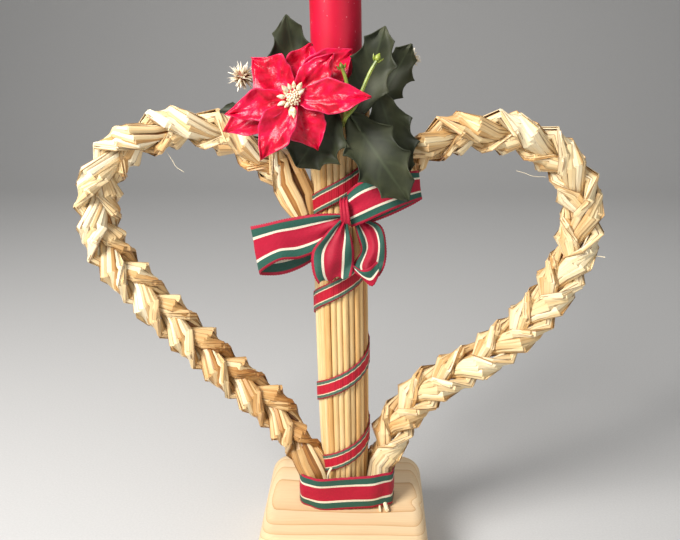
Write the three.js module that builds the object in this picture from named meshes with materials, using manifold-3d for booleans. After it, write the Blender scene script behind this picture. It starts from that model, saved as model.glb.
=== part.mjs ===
// A straw heart candle holder: a bundle of straw on a pine block, with a straw plait bent to each
// side of it as the two halves of a heart. Ribbon binds the straw, and a candle stands in its top
// among a silk poinsettia, holly leaves, buds and dried flowers.
// Millimetres. +Z is up, the front faces -Y, and the origin is the middle of the block's underside.
import * as THREE from "three";
import { mergeVertices } from "three/addons/utils/BufferGeometryUtils.js";
import Module from "manifold-3d";

const wasm = await Module();
wasm.setup();

// Gap that touching pieces keep.
const GAP = 0.3;

// Pine block.
const BLOCK_WIDTH = 82;
const BLOCK_DEPTH = 84;
const BLOCK_HEIGHT = 34;
const BLOCK_CORNER = 12;
const BLOCK_ROUND = 7;

// Straw bundle. Heights from here on are above the block's top.
const BUNDLE_HEIGHT = 201.5;
const BUNDLE_STRAWS = 25;
const STRAW_RELIEF = 0.55;
const BUNDLE_PROFILE = [
  { height: 0, radius: 11.5 },
  { height: 20, radius: 11.7 },
  { height: 45, radius: 12.3 },
  { height: 100, radius: 12.6 },
  { height: 150, radius: 12.4 },
  { height: 172, radius: 12.8 },
  { height: 188, radius: 14.0 },
  { height: BUNDLE_HEIGHT, radius: 14.4 },
];
const BUNDLE_SHIFT = 0.4;
const LEAN = THREE.MathUtils.degToRad(1.2);

// Candle and its seat in the bundle's top.
const CANDLE_RADIUS = 11;
const CANDLE_LENGTH = 150;
const CANDLE_SHOULDER = 4.8;
const CANDLE_CROWN = 1.6;
const CANDLE_TIP_SHARE = 0.35;
const CANDLE_CROWN_SHARE = 0.9;
const CANDLE_SIDES = 25;
const SEAT_DEPTH = 16;
const WICK_RADIUS = 0.8;
const WICK_LENGTH = 11;
const WICK_SIDES = 10;

// Plaits: three strands each, laid over and under round a bent middle line. Each plait is rolled
// about that line, so that its outer edge stands forward.
const STRAND_SWING = 5.9;
const STRAND_RISE = 2.9;
const STRAND_HALF_WIDTH = 5.2;
const STRAND_HALF_THICKNESS = 3.5;
const STRAND_TURN = 67;
const PLAIT_CORE = 3.2;
const PLAIT_SIDES = 10;
const PLAIT_STEP = 5.6;
const PLAIT_ROLL = THREE.MathUtils.degToRad(30);
// The strands lie close where the foot ribbon binds them, and where they are tied at the top.
const FOOT_TAPER = { from: 19.5, to: 40, breadth: 0.34, depth: 1.15 };
const END_TAPER = { length: 34, breadth: 0.66 };
// Middle line of each plait, as places across (X) and heights above the block, from the foot on.
const LEFT_PLAIT = {
  phase: THREE.MathUtils.degToRad(54.5),
  over: 1,
  roll: PLAIT_ROLL,
  places: [
    [-17.4, 0.4],
    [-18.4, 17],
    [-24.3, 33],
    [-36.9, 50.4],
    [-55.5, 67.5],
    [-76.5, 89.1],
    [-96.6, 111.2],
    [-110.5, 129.2],
    [-114.1, 145.6],
    [-112, 162.1],
    [-103.3, 175.9],
    [-88.6, 184],
    [-75.4, 187.7],
    [-61.2, 187.3],
    [-45, 179.8],
    [-30.4, 169.5],
    [-25.3, 160],
    [-23, 147],
  ],
};
const RIGHT_PLAIT = {
  phase: THREE.MathUtils.degToRad(19),
  over: -1,
  roll: -PLAIT_ROLL,
  places: [
    [18.6, 0.4],
    [18.4, 17],
    [22, 35.5],
    [31.9, 53],
    [44.9, 65.6],
    [60.5, 75.6],
    [76.6, 87.4],
    [89.9, 102.3],
    [100.2, 119.5],
    [106, 138.6],
    [105, 157.4],
    [97.2, 171.5],
    [85.2, 181.3],
    [68.5, 186.2],
    [52.5, 186],
    [39.4, 182],
    [28.2, 172],
    [22, 156],
  ],
};

// Ribbons.
const NARROW_WIDTH = 9.5;
const WIDE_WIDTH = 18.5;
const RIBBON_THICKNESS = 0.6;
// Heights at which the spiral ribbon crosses the bundle's front.
const SPIRAL_FRONT_HEIGHTS = [28.7, 69.9, 117.6, 161.9];
const SPIRAL_START = -0.5;
const SPIRAL_END = 3.22;
const SPIRAL_STEPS_PER_TURN = 16;
const CHORD_SAG = 0.45;
const FOOT_BAND_MIDDLE = 0.95;
const FOOT_BAND_HALF_WIDTH = 24.4;
const FOOT_BAND_HALF_DEPTH = 14;
const FOOT_BAND_STEPS = 36;
const FOOT_BAND_SQUARENESS = 0.62;

// Silk leaves, petals and plastic sprigs.
const PETAL_THICKNESS = 0.6;
const LEAF_THICKNESS = 0.7;
const STEM_RADIUS = 0.8;

const STRAW_COLOUR = "#d9b377";
const RIBBON_RED = "#c2183a";
const PETAL_RED = "#d4123d";
const LEAF_GREEN = "#3c4a35";
const BUD_GREEN = "#a9bd6a";

// Joining and cutting of closed meshes.

function solidOf(geometry) {
  const bare = geometry.clone();
  bare.deleteAttribute("normal");
  bare.deleteAttribute("uv");
  const merged = mergeVertices(bare, 1e-3);
  return new wasm.Manifold(
    new wasm.Mesh({
      numProp: 3,
      vertProperties: new Float32Array(merged.attributes.position.array),
      triVerts: new Uint32Array(merged.index.array),
    }),
  );
}

function geometryOf(solid) {
  const mesh = solid.getMesh();
  const geometry = new THREE.BufferGeometry();
  geometry.setAttribute("position", new THREE.BufferAttribute(mesh.vertProperties, 3));
  geometry.setIndex(new THREE.BufferAttribute(mesh.triVerts, 1));
  geometry.computeVertexNormals();
  return geometry;
}

function joined(geometries) {
  return geometryOf(geometries.map(solidOf).reduce((whole, next) => whole.add(next)));
}

function piece(name, geometry, colour, roughness = 0.7) {
  const material = new THREE.MeshStandardMaterial({ color: colour, roughness, metalness: 0 });
  const mesh = new THREE.Mesh(geometry, material);
  mesh.name = name;
  return mesh;
}

// A skin through rings of points that all run the same way round. An open row of rings is capped
// at both ends, and a closed row joins its last ring to its first. On a thin sheet the second half
// of each ring is its back, and is split along the front's diagonals, so that the two stay apart.
function loft(rings, { closed = false, thin = false } = {}) {
  const around = rings[0].length;
  const vertices = rings.flat().flatMap((point) => point.toArray());
  const faces = [];
  const spans = closed ? rings.length : rings.length - 1;
  for (let i = 0; i < spans; i++) {
    const here = i * around;
    const next = ((i + 1) % rings.length) * around;
    for (let j = 0; j < around; j++) {
      const k = (j + 1) % around;
      if (thin && j >= around / 2) {
        faces.push(here + j, here + k, next + j, here + k, next + k, next + j);
      } else {
        faces.push(here + j, here + k, next + k, here + j, next + k, next + j);
      }
    }
  }
  if (!closed) {
    const last = (rings.length - 1) * around;
    for (let j = 1; j < around - 1; j++) {
      faces.push(0, j + 1, j);
      faces.push(last, last + j, last + j + 1);
    }
  }
  const geometry = new THREE.BufferGeometry();
  geometry.setAttribute("position", new THREE.Float32BufferAttribute(vertices, 3));
  geometry.setIndex(faces);
  return geometry;
}

// Round stem of even thickness along a smooth line through the given places.
function stem(places, radius = STEM_RADIUS) {
  const circle = new THREE.Shape().absarc(0, 0, radius, 0, 2 * Math.PI);
  const line = new THREE.CatmullRomCurve3(places.map((place) => new THREE.Vector3(...place)));
  return new THREE.ExtrudeGeometry(circle, {
    extrudePath: line,
    steps: Math.round(1.5 * (places.length - 1)),
    curveSegments: 3,
    bevelEnabled: false,
  });
}

// Pine block: a square with round corners, its upper and lower edges rounded over.
function pineBlock() {
  const x = BLOCK_WIDTH / 2 - BLOCK_ROUND;
  const y = BLOCK_DEPTH / 2 - BLOCK_ROUND;
  const r = BLOCK_CORNER - BLOCK_ROUND;
  const outline = new THREE.Shape();
  outline.absarc(x - r, y - r, r, 0, Math.PI / 2);
  outline.absarc(r - x, y - r, r, Math.PI / 2, Math.PI);
  outline.absarc(r - x, r - y, r, Math.PI, 1.5 * Math.PI);
  outline.absarc(x - r, r - y, r, 1.5 * Math.PI, 2 * Math.PI);
  const upper = new THREE.ExtrudeGeometry(outline, {
    depth: BLOCK_HEIGHT - BLOCK_ROUND,
    bevelThickness: BLOCK_ROUND,
    bevelSize: BLOCK_ROUND,
    bevelSegments: 4,
    curveSegments: 4,
  });
  const cutter = new THREE.BoxGeometry(2 * BLOCK_WIDTH, 2 * BLOCK_DEPTH, 2 * BLOCK_ROUND);
  cutter.translate(0, 0, -BLOCK_ROUND);
  return geometryOf(solidOf(upper).subtract(solidOf(cutter)));
}

// Radius of the bundle at a height, straight between the stations of its profile.
function bundleRadius(height) {
  const above = BUNDLE_PROFILE.findIndex((station) => station.height >= height);
  const upper = BUNDLE_PROFILE[Math.max(above, 1)];
  const lower = BUNDLE_PROFILE[Math.max(above, 1) - 1];
  const share = (height - lower.height) / (upper.height - lower.height);
  return THREE.MathUtils.lerp(lower.radius, upper.radius, share);
}

// Straw bundle: a ridge for each outer straw, and a round seat cut in the top for the candle.
function strawBundle() {
  const points = 2 * BUNDLE_STRAWS;
  const rings = BUNDLE_PROFILE.map(({ height, radius }) =>
    Array.from({ length: points }, (_, i) => {
      const turn = (2 * Math.PI * i) / points;
      const reach = radius - (i % 2 ? STRAW_RELIEF : 0);
      return new THREE.Vector3(reach * Math.cos(turn), reach * Math.sin(turn), height);
    }),
  );
  const seat = new THREE.CylinderGeometry(
    CANDLE_RADIUS + GAP,
    CANDLE_RADIUS + GAP,
    2 * SEAT_DEPTH,
    CANDLE_SIDES,
  );
  seat.rotateX(Math.PI / 2).translate(0, 0, BUNDLE_HEIGHT);
  return geometryOf(solidOf(loft(rings)).subtract(solidOf(seat)));
}

function candle() {
  const r = CANDLE_RADIUS;
  const profile = [
    [0, 0],
    [r, 0],
    [r, CANDLE_LENGTH - CANDLE_SHOULDER],
    [r * CANDLE_CROWN_SHARE, CANDLE_LENGTH - CANDLE_CROWN],
    [r * CANDLE_TIP_SHARE, CANDLE_LENGTH],
    [0, CANDLE_LENGTH],
  ].map(([radius, height]) => new THREE.Vector2(radius, height));
  return new THREE.LatheGeometry(profile, CANDLE_SIDES).rotateX(Math.PI / 2);
}

// Share of a plait's full breadth and depth at a distance from its foot.
function plaitTaper(distance, length) {
  const { from, to } = FOOT_TAPER;
  const foot = THREE.MathUtils.smoothstep(distance, from, to);
  const end = THREE.MathUtils.smoothstep(length - distance, 0, END_TAPER.length);
  const { lerp } = THREE.MathUtils;
  return {
    breadth: lerp(FOOT_TAPER.breadth, 1, foot) * lerp(END_TAPER.breadth, 1, end),
    depth: lerp(FOOT_TAPER.depth, 1, foot),
  };
}

// How far the three strands reach from the plait's middle line in one direction across it. Each
// strand is an oval whose middle swings from side to side once while it rises and dips twice.
function plaitReach({ distance, phase, over, angle, taper }) {
  const across = Math.cos(angle);
  const up = Math.sin(angle);
  let reach = PLAIT_CORE * Math.min(1, 1.2 * taper.breadth);
  for (let strand = 0; strand < 3; strand++) {
    const turn = phase + 2 * Math.PI * (distance / STRAND_TURN + strand / 3);
    const x = STRAND_SWING * taper.breadth * Math.sin(turn);
    const y = STRAND_RISE * taper.depth * over * Math.sin(2 * turn);
    const a = STRAND_HALF_WIDTH * taper.breadth;
    const b = STRAND_HALF_THICKNESS * taper.depth;
    const p = (across / a) ** 2 + (up / b) ** 2;
    const q = (across * x) / a ** 2 + (up * y) / b ** 2;
    const r = (x / a) ** 2 + (y / b) ** 2 - 1;
    const root = q * q - p * r;
    if (root >= 0) reach = Math.max(reach, (q + Math.sqrt(root)) / p);
  }
  return reach;
}

function plait({ places, phase, over, roll }) {
  const line = new THREE.CatmullRomCurve3(
    places.map(([across, height]) => new THREE.Vector3(across, 0, height)),
  );
  const length = line.getLength();
  const steps = Math.round(length / PLAIT_STEP);
  const depthwise = new THREE.Vector3(0, 1, 0);
  const rings = [];
  for (let i = 0; i <= steps; i++) {
    const middle = line.getPointAt(i / steps);
    const sideways = depthwise.clone().cross(line.getTangentAt(i / steps));
    const distance = (length * i) / steps;
    const taper = plaitTaper(distance, length);
    const rolled = roll * taper.breadth;
    const ring = [];
    for (let j = 0; j < PLAIT_SIDES; j++) {
      const turn = (2 * Math.PI * j) / PLAIT_SIDES;
      const reach = plaitReach({ distance, phase, over, angle: turn - rolled, taper });
      ring.push(
        middle
          .clone()
          .addScaledVector(depthwise, reach * Math.sin(turn))
          .addScaledVector(sideways, reach * Math.cos(turn)),
      );
    }
    rings.push(ring);
  }
  return loft(rings);
}

// Flat ribbon along a row of places, each with the direction of the ribbon's width there.
function ribbonStrip(places, width, closed = false) {
  const last = places.length - 1;
  const rings = places.map(({ at, across }, i) => {
    const before = closed ? places[(i + last) % places.length] : places[Math.max(i - 1, 0)];
    const after = closed ? places[(i + 1) % places.length] : places[Math.min(i + 1, last)];
    const along = after.at.clone().sub(before.at).normalize();
    const wide = across.clone().addScaledVector(along, -across.dot(along)).normalize();
    const thick = along.clone().cross(wide).multiplyScalar(RIBBON_THICKNESS / 2);
    wide.multiplyScalar(width(i / last) / 2);
    return [
      at.clone().add(wide).add(thick),
      at.clone().sub(wide).add(thick),
      at.clone().sub(wide).sub(thick),
      at.clone().add(wide).sub(thick),
    ];
  });
  return loft(rings, { closed, thin: true });
}

// Narrow ribbon wound up the bundle. Turn 0, 1, 2 and 3 are its four crossings of the front.
function spiralRibbon() {
  const rise = new THREE.CatmullRomCurve3(
    [-1, 0, 1, 2, 3, 4].map((turn) => {
      const [first, second] = SPIRAL_FRONT_HEIGHTS;
      const [before, final] = SPIRAL_FRONT_HEIGHTS.slice(-2);
      if (turn < 0) return new THREE.Vector3(turn, 0, 2 * first - second);
      if (turn > 3) return new THREE.Vector3(turn, 0, 2 * final - before);
      return new THREE.Vector3(turn, 0, SPIRAL_FRONT_HEIGHTS[turn]);
    }),
  );
  const steps = Math.round((SPIRAL_END - SPIRAL_START) * SPIRAL_STEPS_PER_TURN);
  const places = [];
  for (let i = 0; i <= steps; i++) {
    const turn = THREE.MathUtils.lerp(SPIRAL_START, SPIRAL_END, i / steps);
    const height = rise.getPoint((turn + 1) / 5).z;
    const reach = bundleRadius(height) + GAP + RIBBON_THICKNESS / 2 + CHORD_SAG;
    const angle = 2 * Math.PI * turn - Math.PI / 2;
    places.push({
      at: new THREE.Vector3(reach * Math.cos(angle), reach * Math.sin(angle), height),
      across: new THREE.Vector3(0, 0, 1),
    });
  }
  return ribbonStrip(places, () => NARROW_WIDTH);
}

// Wide ribbon round the foot of the bundle and of both plaits, as a flattened ring.
function footBand() {
  const places = [];
  for (let i = 0; i < FOOT_BAND_STEPS; i++) {
    const turn = (2 * Math.PI * i) / FOOT_BAND_STEPS;
    const across = Math.sign(Math.cos(turn)) * Math.abs(Math.cos(turn)) ** FOOT_BAND_SQUARENESS;
    const deep = Math.sign(Math.sin(turn)) * Math.abs(Math.sin(turn)) ** FOOT_BAND_SQUARENESS;
    places.push({
      at: new THREE.Vector3(
        FOOT_BAND_MIDDLE + (FOOT_BAND_HALF_WIDTH - RIBBON_THICKNESS / 2) * across,
        (FOOT_BAND_HALF_DEPTH - RIBBON_THICKNESS / 2) * deep,
        GAP + WIDE_WIDTH / 2,
      ),
      across: new THREE.Vector3(0, 0, 1),
    });
  }
  return ribbonStrip(places, () => WIDE_WIDTH, true);
}

// Bow of the wide ribbon: two loops and two tails, drawn together in a knot. Each line gives the
// places that the ribbon's middle passes, from the knot on, and the way its width points.
const KNOT = [1.5, -17.5, 153];
const BOW_LINES = [
  {
    across: [-0.15, 0, 1],
    places: [
      [0, -17, 152],
      [-12, -21, 147],
      [-27, -22, 142],
      [-37.5, -20.5, 139],
      [-40, -18, 137],
      [-37, -15.6, 134.5],
      [-25, -15, 136],
      [-11, -15, 142],
      [0, -15.4, 150],
    ],
  },
  {
    across: [-0.1, 0, 1],
    places: [
      [2, -17, 154],
      [7, -20.5, 157.5],
      [19, -21, 161.5],
      [29.5, -19, 165],
      [32.5, -17, 165.5],
      [30, -15.2, 163.5],
      [18, -15, 158],
      [8, -15, 153],
      [2, -15.4, 151],
    ],
  },
  {
    across: [1, 0, 0.1],
    places: [
      [0, -17.5, 151],
      [-3, -18.6, 143],
      [-6.5, -17.6, 132],
      [-7, -18.2, 121],
    ],
  },
  {
    across: [1, 0, -0.1],
    places: [
      [3, -17, 151],
      [7, -18.4, 142],
      [11.5, -17.4, 131],
      [12.5, -18.4, 122],
    ],
  },
];
const BOW_STEPS = 9;

function bow() {
  const strips = BOW_LINES.map(({ across, places }) => {
    const line = new THREE.CatmullRomCurve3(places.map((place) => new THREE.Vector3(...place)));
    const loops = places.length > 4;
    const rows = Array.from({ length: BOW_STEPS + 1 }, (_, i) => ({
      at: line.getPoint(i / BOW_STEPS),
      across: new THREE.Vector3(...across),
    }));
    const gathered = (share) =>
      Math.min(1, 0.45 + 2.6 * (loops ? Math.min(share, 1 - share) : share));
    return ribbonStrip(rows, (share) => WIDE_WIDTH * gathered(share));
  });
  const knot = new THREE.SphereGeometry(1, 8, 5).scale(5, 3, 8).translate(...KNOT);
  return joined([...strips, knot]);
}

// Thin curved blade, such as a petal or a leaf, from its root to its tip. Its front looks the way
// that facing says, arch lifts its middle that way, and cup lifts its edges that way.
function blade({ root, tip, facing, halfWidth, arch, cup, thickness, outline, steps }) {
  const start = new THREE.Vector3(...root);
  const along = new THREE.Vector3(...tip).sub(start);
  const side = new THREE.Vector3(...facing).cross(along).normalize();
  const front = along.clone().cross(side).normalize();
  const rings = [];
  for (let i = 0; i <= steps; i++) {
    const share = i / steps;
    const width = Math.max(outline(share) * halfWidth, thickness / 2);
    const middle = start.clone().addScaledVector(along, share);
    middle.addScaledVector(front, 4 * arch * share * (1 - share));
    const row = (lift, ways) =>
      ways.map((way) =>
        middle
          .clone()
          .addScaledVector(side, way * width)
          .addScaledVector(front, lift + (cup * Math.abs(way) * width) / halfWidth),
      );
    rings.push([...row(thickness / 2, [1, 0, -1]), ...row(-thickness / 2, [-1, 0, 1])]);
  }
  return loft(rings, { thin: true });
}

// A petal swells to a third of its length and runs to a point.
function petalOutline(share) {
  const swell = Math.sin(Math.PI * share ** 0.75) ** 1.1;
  return 0.22 + 1.32 * swell * (1 - 0.45 * share);
}

// A holly leaf's edge: a spine at every third row, and a hollow between one spine and the next.
const HOLLY_STEPS = 13;
const SPINE_THEN_HOLLOW = [1.12, 0.84, 0.8];
const LEAF_END = 0.08;
function hollyOutline(share) {
  const row = Math.round(share * HOLLY_STEPS);
  if (row === 0 || row === HOLLY_STEPS) return LEAF_END;
  const body = 0.1 + 0.95 * Math.sin(Math.PI * Math.min(1, 0.06 + 0.94 * share)) ** 0.6;
  return body * SPINE_THEN_HOLLOW[row % 3];
}

const FLOWER_HEART = [-20.3, -24.5, 203.3];
// Petals of the poinsettia's two layers: the tip's place, the half width, and the arch.
const BACK_PETALS = [
  { tip: [-38.1, -20, 218.5], halfWidth: 8.5, arch: 1.5 },
  { tip: [-14.0, -16.5, 224.0], halfWidth: 7.5, arch: 1 },
  { tip: [3.0, -15.8, 221.5], halfWidth: 8, arch: 1 },
  { tip: [-10.8, -25, 181.6], halfWidth: 8, arch: 2.5 },
  { tip: [-50.5, -20, 188.6], halfWidth: 7, arch: 2 },
];
const FRONT_PETALS = [
  { tip: [-4.0, -24.5, 220.5], halfWidth: 5.5, arch: -0.5 },
  { tip: [10.3, -29, 204.0], halfWidth: 6.4, arch: 1 },
  { tip: [-34.0, -30, 178.6], halfWidth: 7, arch: 2 },
  { tip: [-48.0, -26, 196.7], halfWidth: 6, arch: 1 },
];

function petals(list, backwards) {
  const [x, y, z] = FLOWER_HEART;
  const hub = new THREE.SphereGeometry(2.2, 8, 5).scale(1, 0.5, 1).translate(x, y + backwards, z);
  const blades = list.map(({ tip, halfWidth, arch }) =>
    blade({
      root: [x, y + backwards, z],
      tip,
      facing: [0, -1, 0.15],
      halfWidth,
      arch,
      cup: 1.2,
      thickness: PETAL_THICKNESS,
      outline: petalOutline,
      steps: 6,
    }),
  );
  return [hub, ...blades];
}

// The poinsettia's middle: a ring of pods round a small dome.
const POD_RING = 4.6;
const POD_COUNT = 8;
function flowerMiddle() {
  const [x, y, z] = FLOWER_HEART;
  const front = y - 2.4;
  const dome = new THREE.SphereGeometry(3.6, 8, 5).scale(1, 0.6, 1).translate(x, front - 1.6, z);
  const pods = Array.from({ length: POD_COUNT }, (_, i) => {
    const turn = (2 * Math.PI * i) / POD_COUNT;
    const pod = new THREE.SphereGeometry(1, 5, 4).scale(1.0, 2.4, 1.0);
    pod.rotateX(-0.9).translate(0, -1.4, POD_RING - 1);
    return pod.rotateY(turn).translate(x, front - 0.8, z);
  });
  return joined([dome, ...pods]);
}

// Holly leaves. Each has a wire stem from the root of its blade to the bundle's rim.
const HOLLY_LEAVES = [
  {
    name: "holly_leaf_rear_left",
    rim: [-18.9, -3, 188],
    root: [-22.5, -3.4, 198.4],
    tip: [-26, -1.5, 235.2],
    halfWidth: 8.6,
    facing: [0, -1, 0.1],
  },
  {
    name: "holly_leaf_right",
    rim: [4.6, -13.6, 190],
    root: [6, -15.2, 196],
    tip: [16.2, -10, 230.6],
    halfWidth: 9.4,
    facing: [0, -1, 0.1],
  },
  {
    name: "holly_leaf_rear_right",
    rim: [11.6, 0.8, 189],
    root: [13.5, 0.6, 198],
    tip: [28, 0.5, 223.5],
    halfWidth: 8,
    facing: [0, -1, 0.2],
  },
  {
    name: "holly_leaf_lower_right",
    rim: [10.2, -7.6, 192],
    root: [13.5, -9.6, 203],
    tip: [26.5, -9.6, 168],
    halfWidth: 10,
    facing: [0, -1, 0.1],
  },
  {
    name: "holly_leaf_front",
    rim: [2.6, -14.9, 187],
    root: [4, -18.2, 196.5],
    tip: [27.2, -24.5, 160.6],
    halfWidth: 12,
    facing: [0, -1, 0.15],
  },
  {
    name: "holly_leaf_under_flower",
    rim: [-9, -14.4, 185],
    root: [-6.4, -18.2, 194],
    tip: [-29.4, -20, 181.5],
    halfWidth: 9.4,
    facing: [0, -1, 0.15],
  },
  {
    name: "holly_leaf_far_left",
    rim: [-17, -9.8, 189],
    root: [-26, -13.2, 198],
    tip: [-53.6, -10, 195.5],
    halfWidth: 6,
    facing: [0, -0.8, 1],
  },
];

function hollyLeaf({ rim, root, tip, halfWidth, facing }) {
  const leafBlade = blade({
    root,
    tip,
    facing,
    halfWidth,
    arch: 1.2,
    cup: 1.4,
    thickness: LEAF_THICKNESS,
    outline: hollyOutline,
    steps: HOLLY_STEPS,
  });
  const into = new THREE.Vector3(...root).lerp(new THREE.Vector3(...tip), 0.06).toArray();
  return joined([leafBlade, stem([rim, root, into])]);
}

// Dried flower head: a ball of short spikes on a stem.
const DRIED_FLOWERS = [
  { name: "dried_flower_left", head: [-43.8, -8, 210.2], rim: [-18.8, -5.4, 192], radius: 5.8 },
  { name: "dried_flower_right", head: [24.6, 5, 216.7], rim: [10.6, 5.4, 191], radius: 4.6 },
];

function driedFlower({ head, rim, radius }) {
  const ball = new THREE.IcosahedronGeometry(radius, 2);
  const places = ball.attributes.position;
  for (let i = 0; i < places.count; i++) {
    const point = new THREE.Vector3().fromBufferAttribute(places, i);
    const key = Math.round(10 * (point.x + 2 * point.y + 3 * point.z));
    point.multiplyScalar(key % 2 ? 1 : 0.72);
    places.setXYZ(i, point.x, point.y, point.z);
  }
  ball.translate(...head);
  const between = head.map((value, i) => (value + rim[i]) / 2);
  return joined([ball, stem([rim, between, head])]);
}

// Plastic sprig: two stems that part low down, each with a bud and two sepals.
const SPRIG_RADIUS = 0.7;
const BUD_RADIUS = 1.6;
const SPRIG_STEMS = [
  {
    bud: [13.0, -23, 217.8],
    places: [
      [-0.6, -15.4, 191],
      [0.4, -21.6, 194.8],
      [4.6, -23.2, 200],
      [7.2, -23.6, 206],
      [10.2, -23.4, 213],
      [13.0, -23, 217.8],
    ],
  },
  {
    bud: [-1.0, -22.4, 214.6],
    places: [
      [0.4, -21.6, 194.8],
      [1.2, -22.4, 204],
      [0.6, -22.6, 210],
      [-1.0, -22.4, 214.6],
    ],
  },
];

function budSprig() {
  const shapes = SPRIG_STEMS.flatMap(({ bud, places }) => {
    const [x, y, z] = bud;
    const sepals = [-1, 1].map((way) =>
      new THREE.ConeGeometry(0.7, 4.4, 6)
        .rotateX(Math.PI / 2)
        .rotateY(way * 0.7)
        .translate(x - 1.4 + way * 1.5, y, z - 3.4),
    );
    const budBall = new THREE.SphereGeometry(BUD_RADIUS, 7, 5).scale(0.9, 0.9, 1.2);
    return [stem(places, SPRIG_RADIUS), budBall.translate(x, y, z), ...sepals];
  });
  return joined(shapes);
}

// Assembly.

const holder = new THREE.Group();
holder.add(piece("pine_block", pineBlock(), "#e6c79a", 0.6));

const arrangement = new THREE.Group();
arrangement.position.z = BLOCK_HEIGHT;
holder.add(arrangement);

// The bundle, the ribbon wound round it and the candle lean a little to the left together.
const upright = new THREE.Group();
upright.position.set(BUNDLE_SHIFT, 0, GAP);
upright.rotation.y = -LEAN;
arrangement.add(upright);
upright.add(piece("straw_bundle", strawBundle(), STRAW_COLOUR));
upright.add(piece("narrow_ribbon_spiral", spiralRibbon(), RIBBON_RED, 0.5));

const candleGroup = new THREE.Group();
candleGroup.position.z = BUNDLE_HEIGHT - SEAT_DEPTH + GAP;
upright.add(candleGroup);
candleGroup.add(piece("candle", candle(), "#b3122a", 0.35));
const wick = new THREE.CylinderGeometry(WICK_RADIUS, WICK_RADIUS, WICK_LENGTH, WICK_SIDES);
wick.rotateX(Math.PI / 2).translate(0, 0, CANDLE_LENGTH + GAP + WICK_LENGTH / 2);
candleGroup.add(piece("candle_wick", wick, "#efe9dc", 0.9));

arrangement.add(piece("plait_left", plait(LEFT_PLAIT), STRAW_COLOUR));
arrangement.add(piece("plait_right", plait(RIGHT_PLAIT), STRAW_COLOUR));
arrangement.add(piece("foot_ribbon", footBand(), RIBBON_RED, 0.5));
arrangement.add(piece("ribbon_bow", bow(), RIBBON_RED, 0.5));

const [heartX, heartY, heartZ] = FLOWER_HEART;
const flowerStem = stem([
  [-11.5, -14.4, 190],
  [-16, -17.5, 197],
  [heartX, heartY + 2, heartZ],
]);
const backPetals = joined([...petals(BACK_PETALS, 2), flowerStem]);
const frontPetals = joined(petals(FRONT_PETALS, -0.6));
arrangement.add(piece("poinsettia_back_petals", backPetals, PETAL_RED));
arrangement.add(piece("poinsettia_front_petals", frontPetals, PETAL_RED));
arrangement.add(piece("poinsettia_middle", flowerMiddle(), "#f0e6d0"));

for (const leaf of HOLLY_LEAVES) arrangement.add(piece(leaf.name, hollyLeaf(leaf), LEAF_GREEN));
for (const flower of DRIED_FLOWERS) arrangement.add(piece(flower.name, driedFlower(flower), "#efe6d2"));
arrangement.add(piece("green_bud_sprig", budSprig(), BUD_GREEN, 0.5));

export default holder;
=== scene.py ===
import math

import bmesh
import bpy
import numpy as np
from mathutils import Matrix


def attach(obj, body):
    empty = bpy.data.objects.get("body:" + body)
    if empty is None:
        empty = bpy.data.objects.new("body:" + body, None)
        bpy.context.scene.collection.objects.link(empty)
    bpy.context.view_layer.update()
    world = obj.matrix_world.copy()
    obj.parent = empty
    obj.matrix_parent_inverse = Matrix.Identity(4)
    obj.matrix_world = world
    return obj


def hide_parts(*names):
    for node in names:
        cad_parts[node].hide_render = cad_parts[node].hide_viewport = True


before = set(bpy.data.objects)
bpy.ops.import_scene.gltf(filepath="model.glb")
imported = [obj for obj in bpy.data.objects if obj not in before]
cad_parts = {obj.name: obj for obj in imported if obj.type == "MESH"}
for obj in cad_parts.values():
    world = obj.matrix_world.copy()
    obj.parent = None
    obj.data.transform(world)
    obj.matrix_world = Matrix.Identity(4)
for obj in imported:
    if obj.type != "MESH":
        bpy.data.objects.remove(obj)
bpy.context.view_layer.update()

# Pine block: one piece of planed softwood that everything stands on. It is sawn with the tree's
# heart high above it, so the year rings are wide arcs round a line from left to right, and its
# edges and corners are rounded over with a router.

MM = 0.001
BLOCK_HALF = (41.0, 42.0)
BLOCK_TOP = 34.0
BLOCK_CORNER = 12.0
BLOCK_ROUND = 7.0
BLOCK_CHAMFER = 0.4
RING_AXIS = (0.0, -0.9, 119.0)
RING_FIRST = 85.96
RING_STEP = 2.45
RING_WANDER = 2.4
KNOT_PLACE = (36.5, -6.0, 30.0)
KNOT_RADIUS, KNOT_LIFT = 7.0, 2.6


def linear(colour):
    """Linear light of an sRGB hex colour: c / 12.92 up to 0.04045, and above it (c + 0.055) / 1.055 to
    the power 2.4."""
    levels = [int(colour[i : i + 2], 16) / 255 for i in (1, 3, 5)]
    return [c / 12.92 if c <= 0.04045 else ((c + 0.055) / 1.055) ** 2.4 for c in levels] + [1.0]


def bare_material(name):
    """A material with no nodes yet."""
    material = bpy.data.materials.new(name)
    material.use_nodes = True
    material.node_tree.nodes.clear()
    return material


def add_node(material, kind, inputs=(), stops=(), **settings):
    """One shader node with its settings and a ramp's colour stops. An input given as a node is linked
    to that node's first output, one given as a socket is linked to it, any other is its value."""
    tree = material.node_tree
    node = tree.nodes.new("ShaderNode" + kind)
    for name, value in settings.items():
        setattr(node, name, value)
    for place, value in dict(inputs).items():
        if isinstance(value, bpy.types.Node):
            value = value.outputs[0]
        if isinstance(value, bpy.types.NodeSocket):
            tree.links.new(value, node.inputs[place])
        else:
            node.inputs[place].default_value = value
    if stops:
        ramp = node.color_ramp
        ramp.elements[0].position, ramp.elements[0].color = stops[0][0], linear(stops[0][1])
        ramp.elements[-1].position, ramp.elements[-1].color = stops[-1][0], linear(stops[-1][1])
        for position, colour in stops[1:-1]:
            ramp.elements.new(position).color = linear(colour)
    return node


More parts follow.
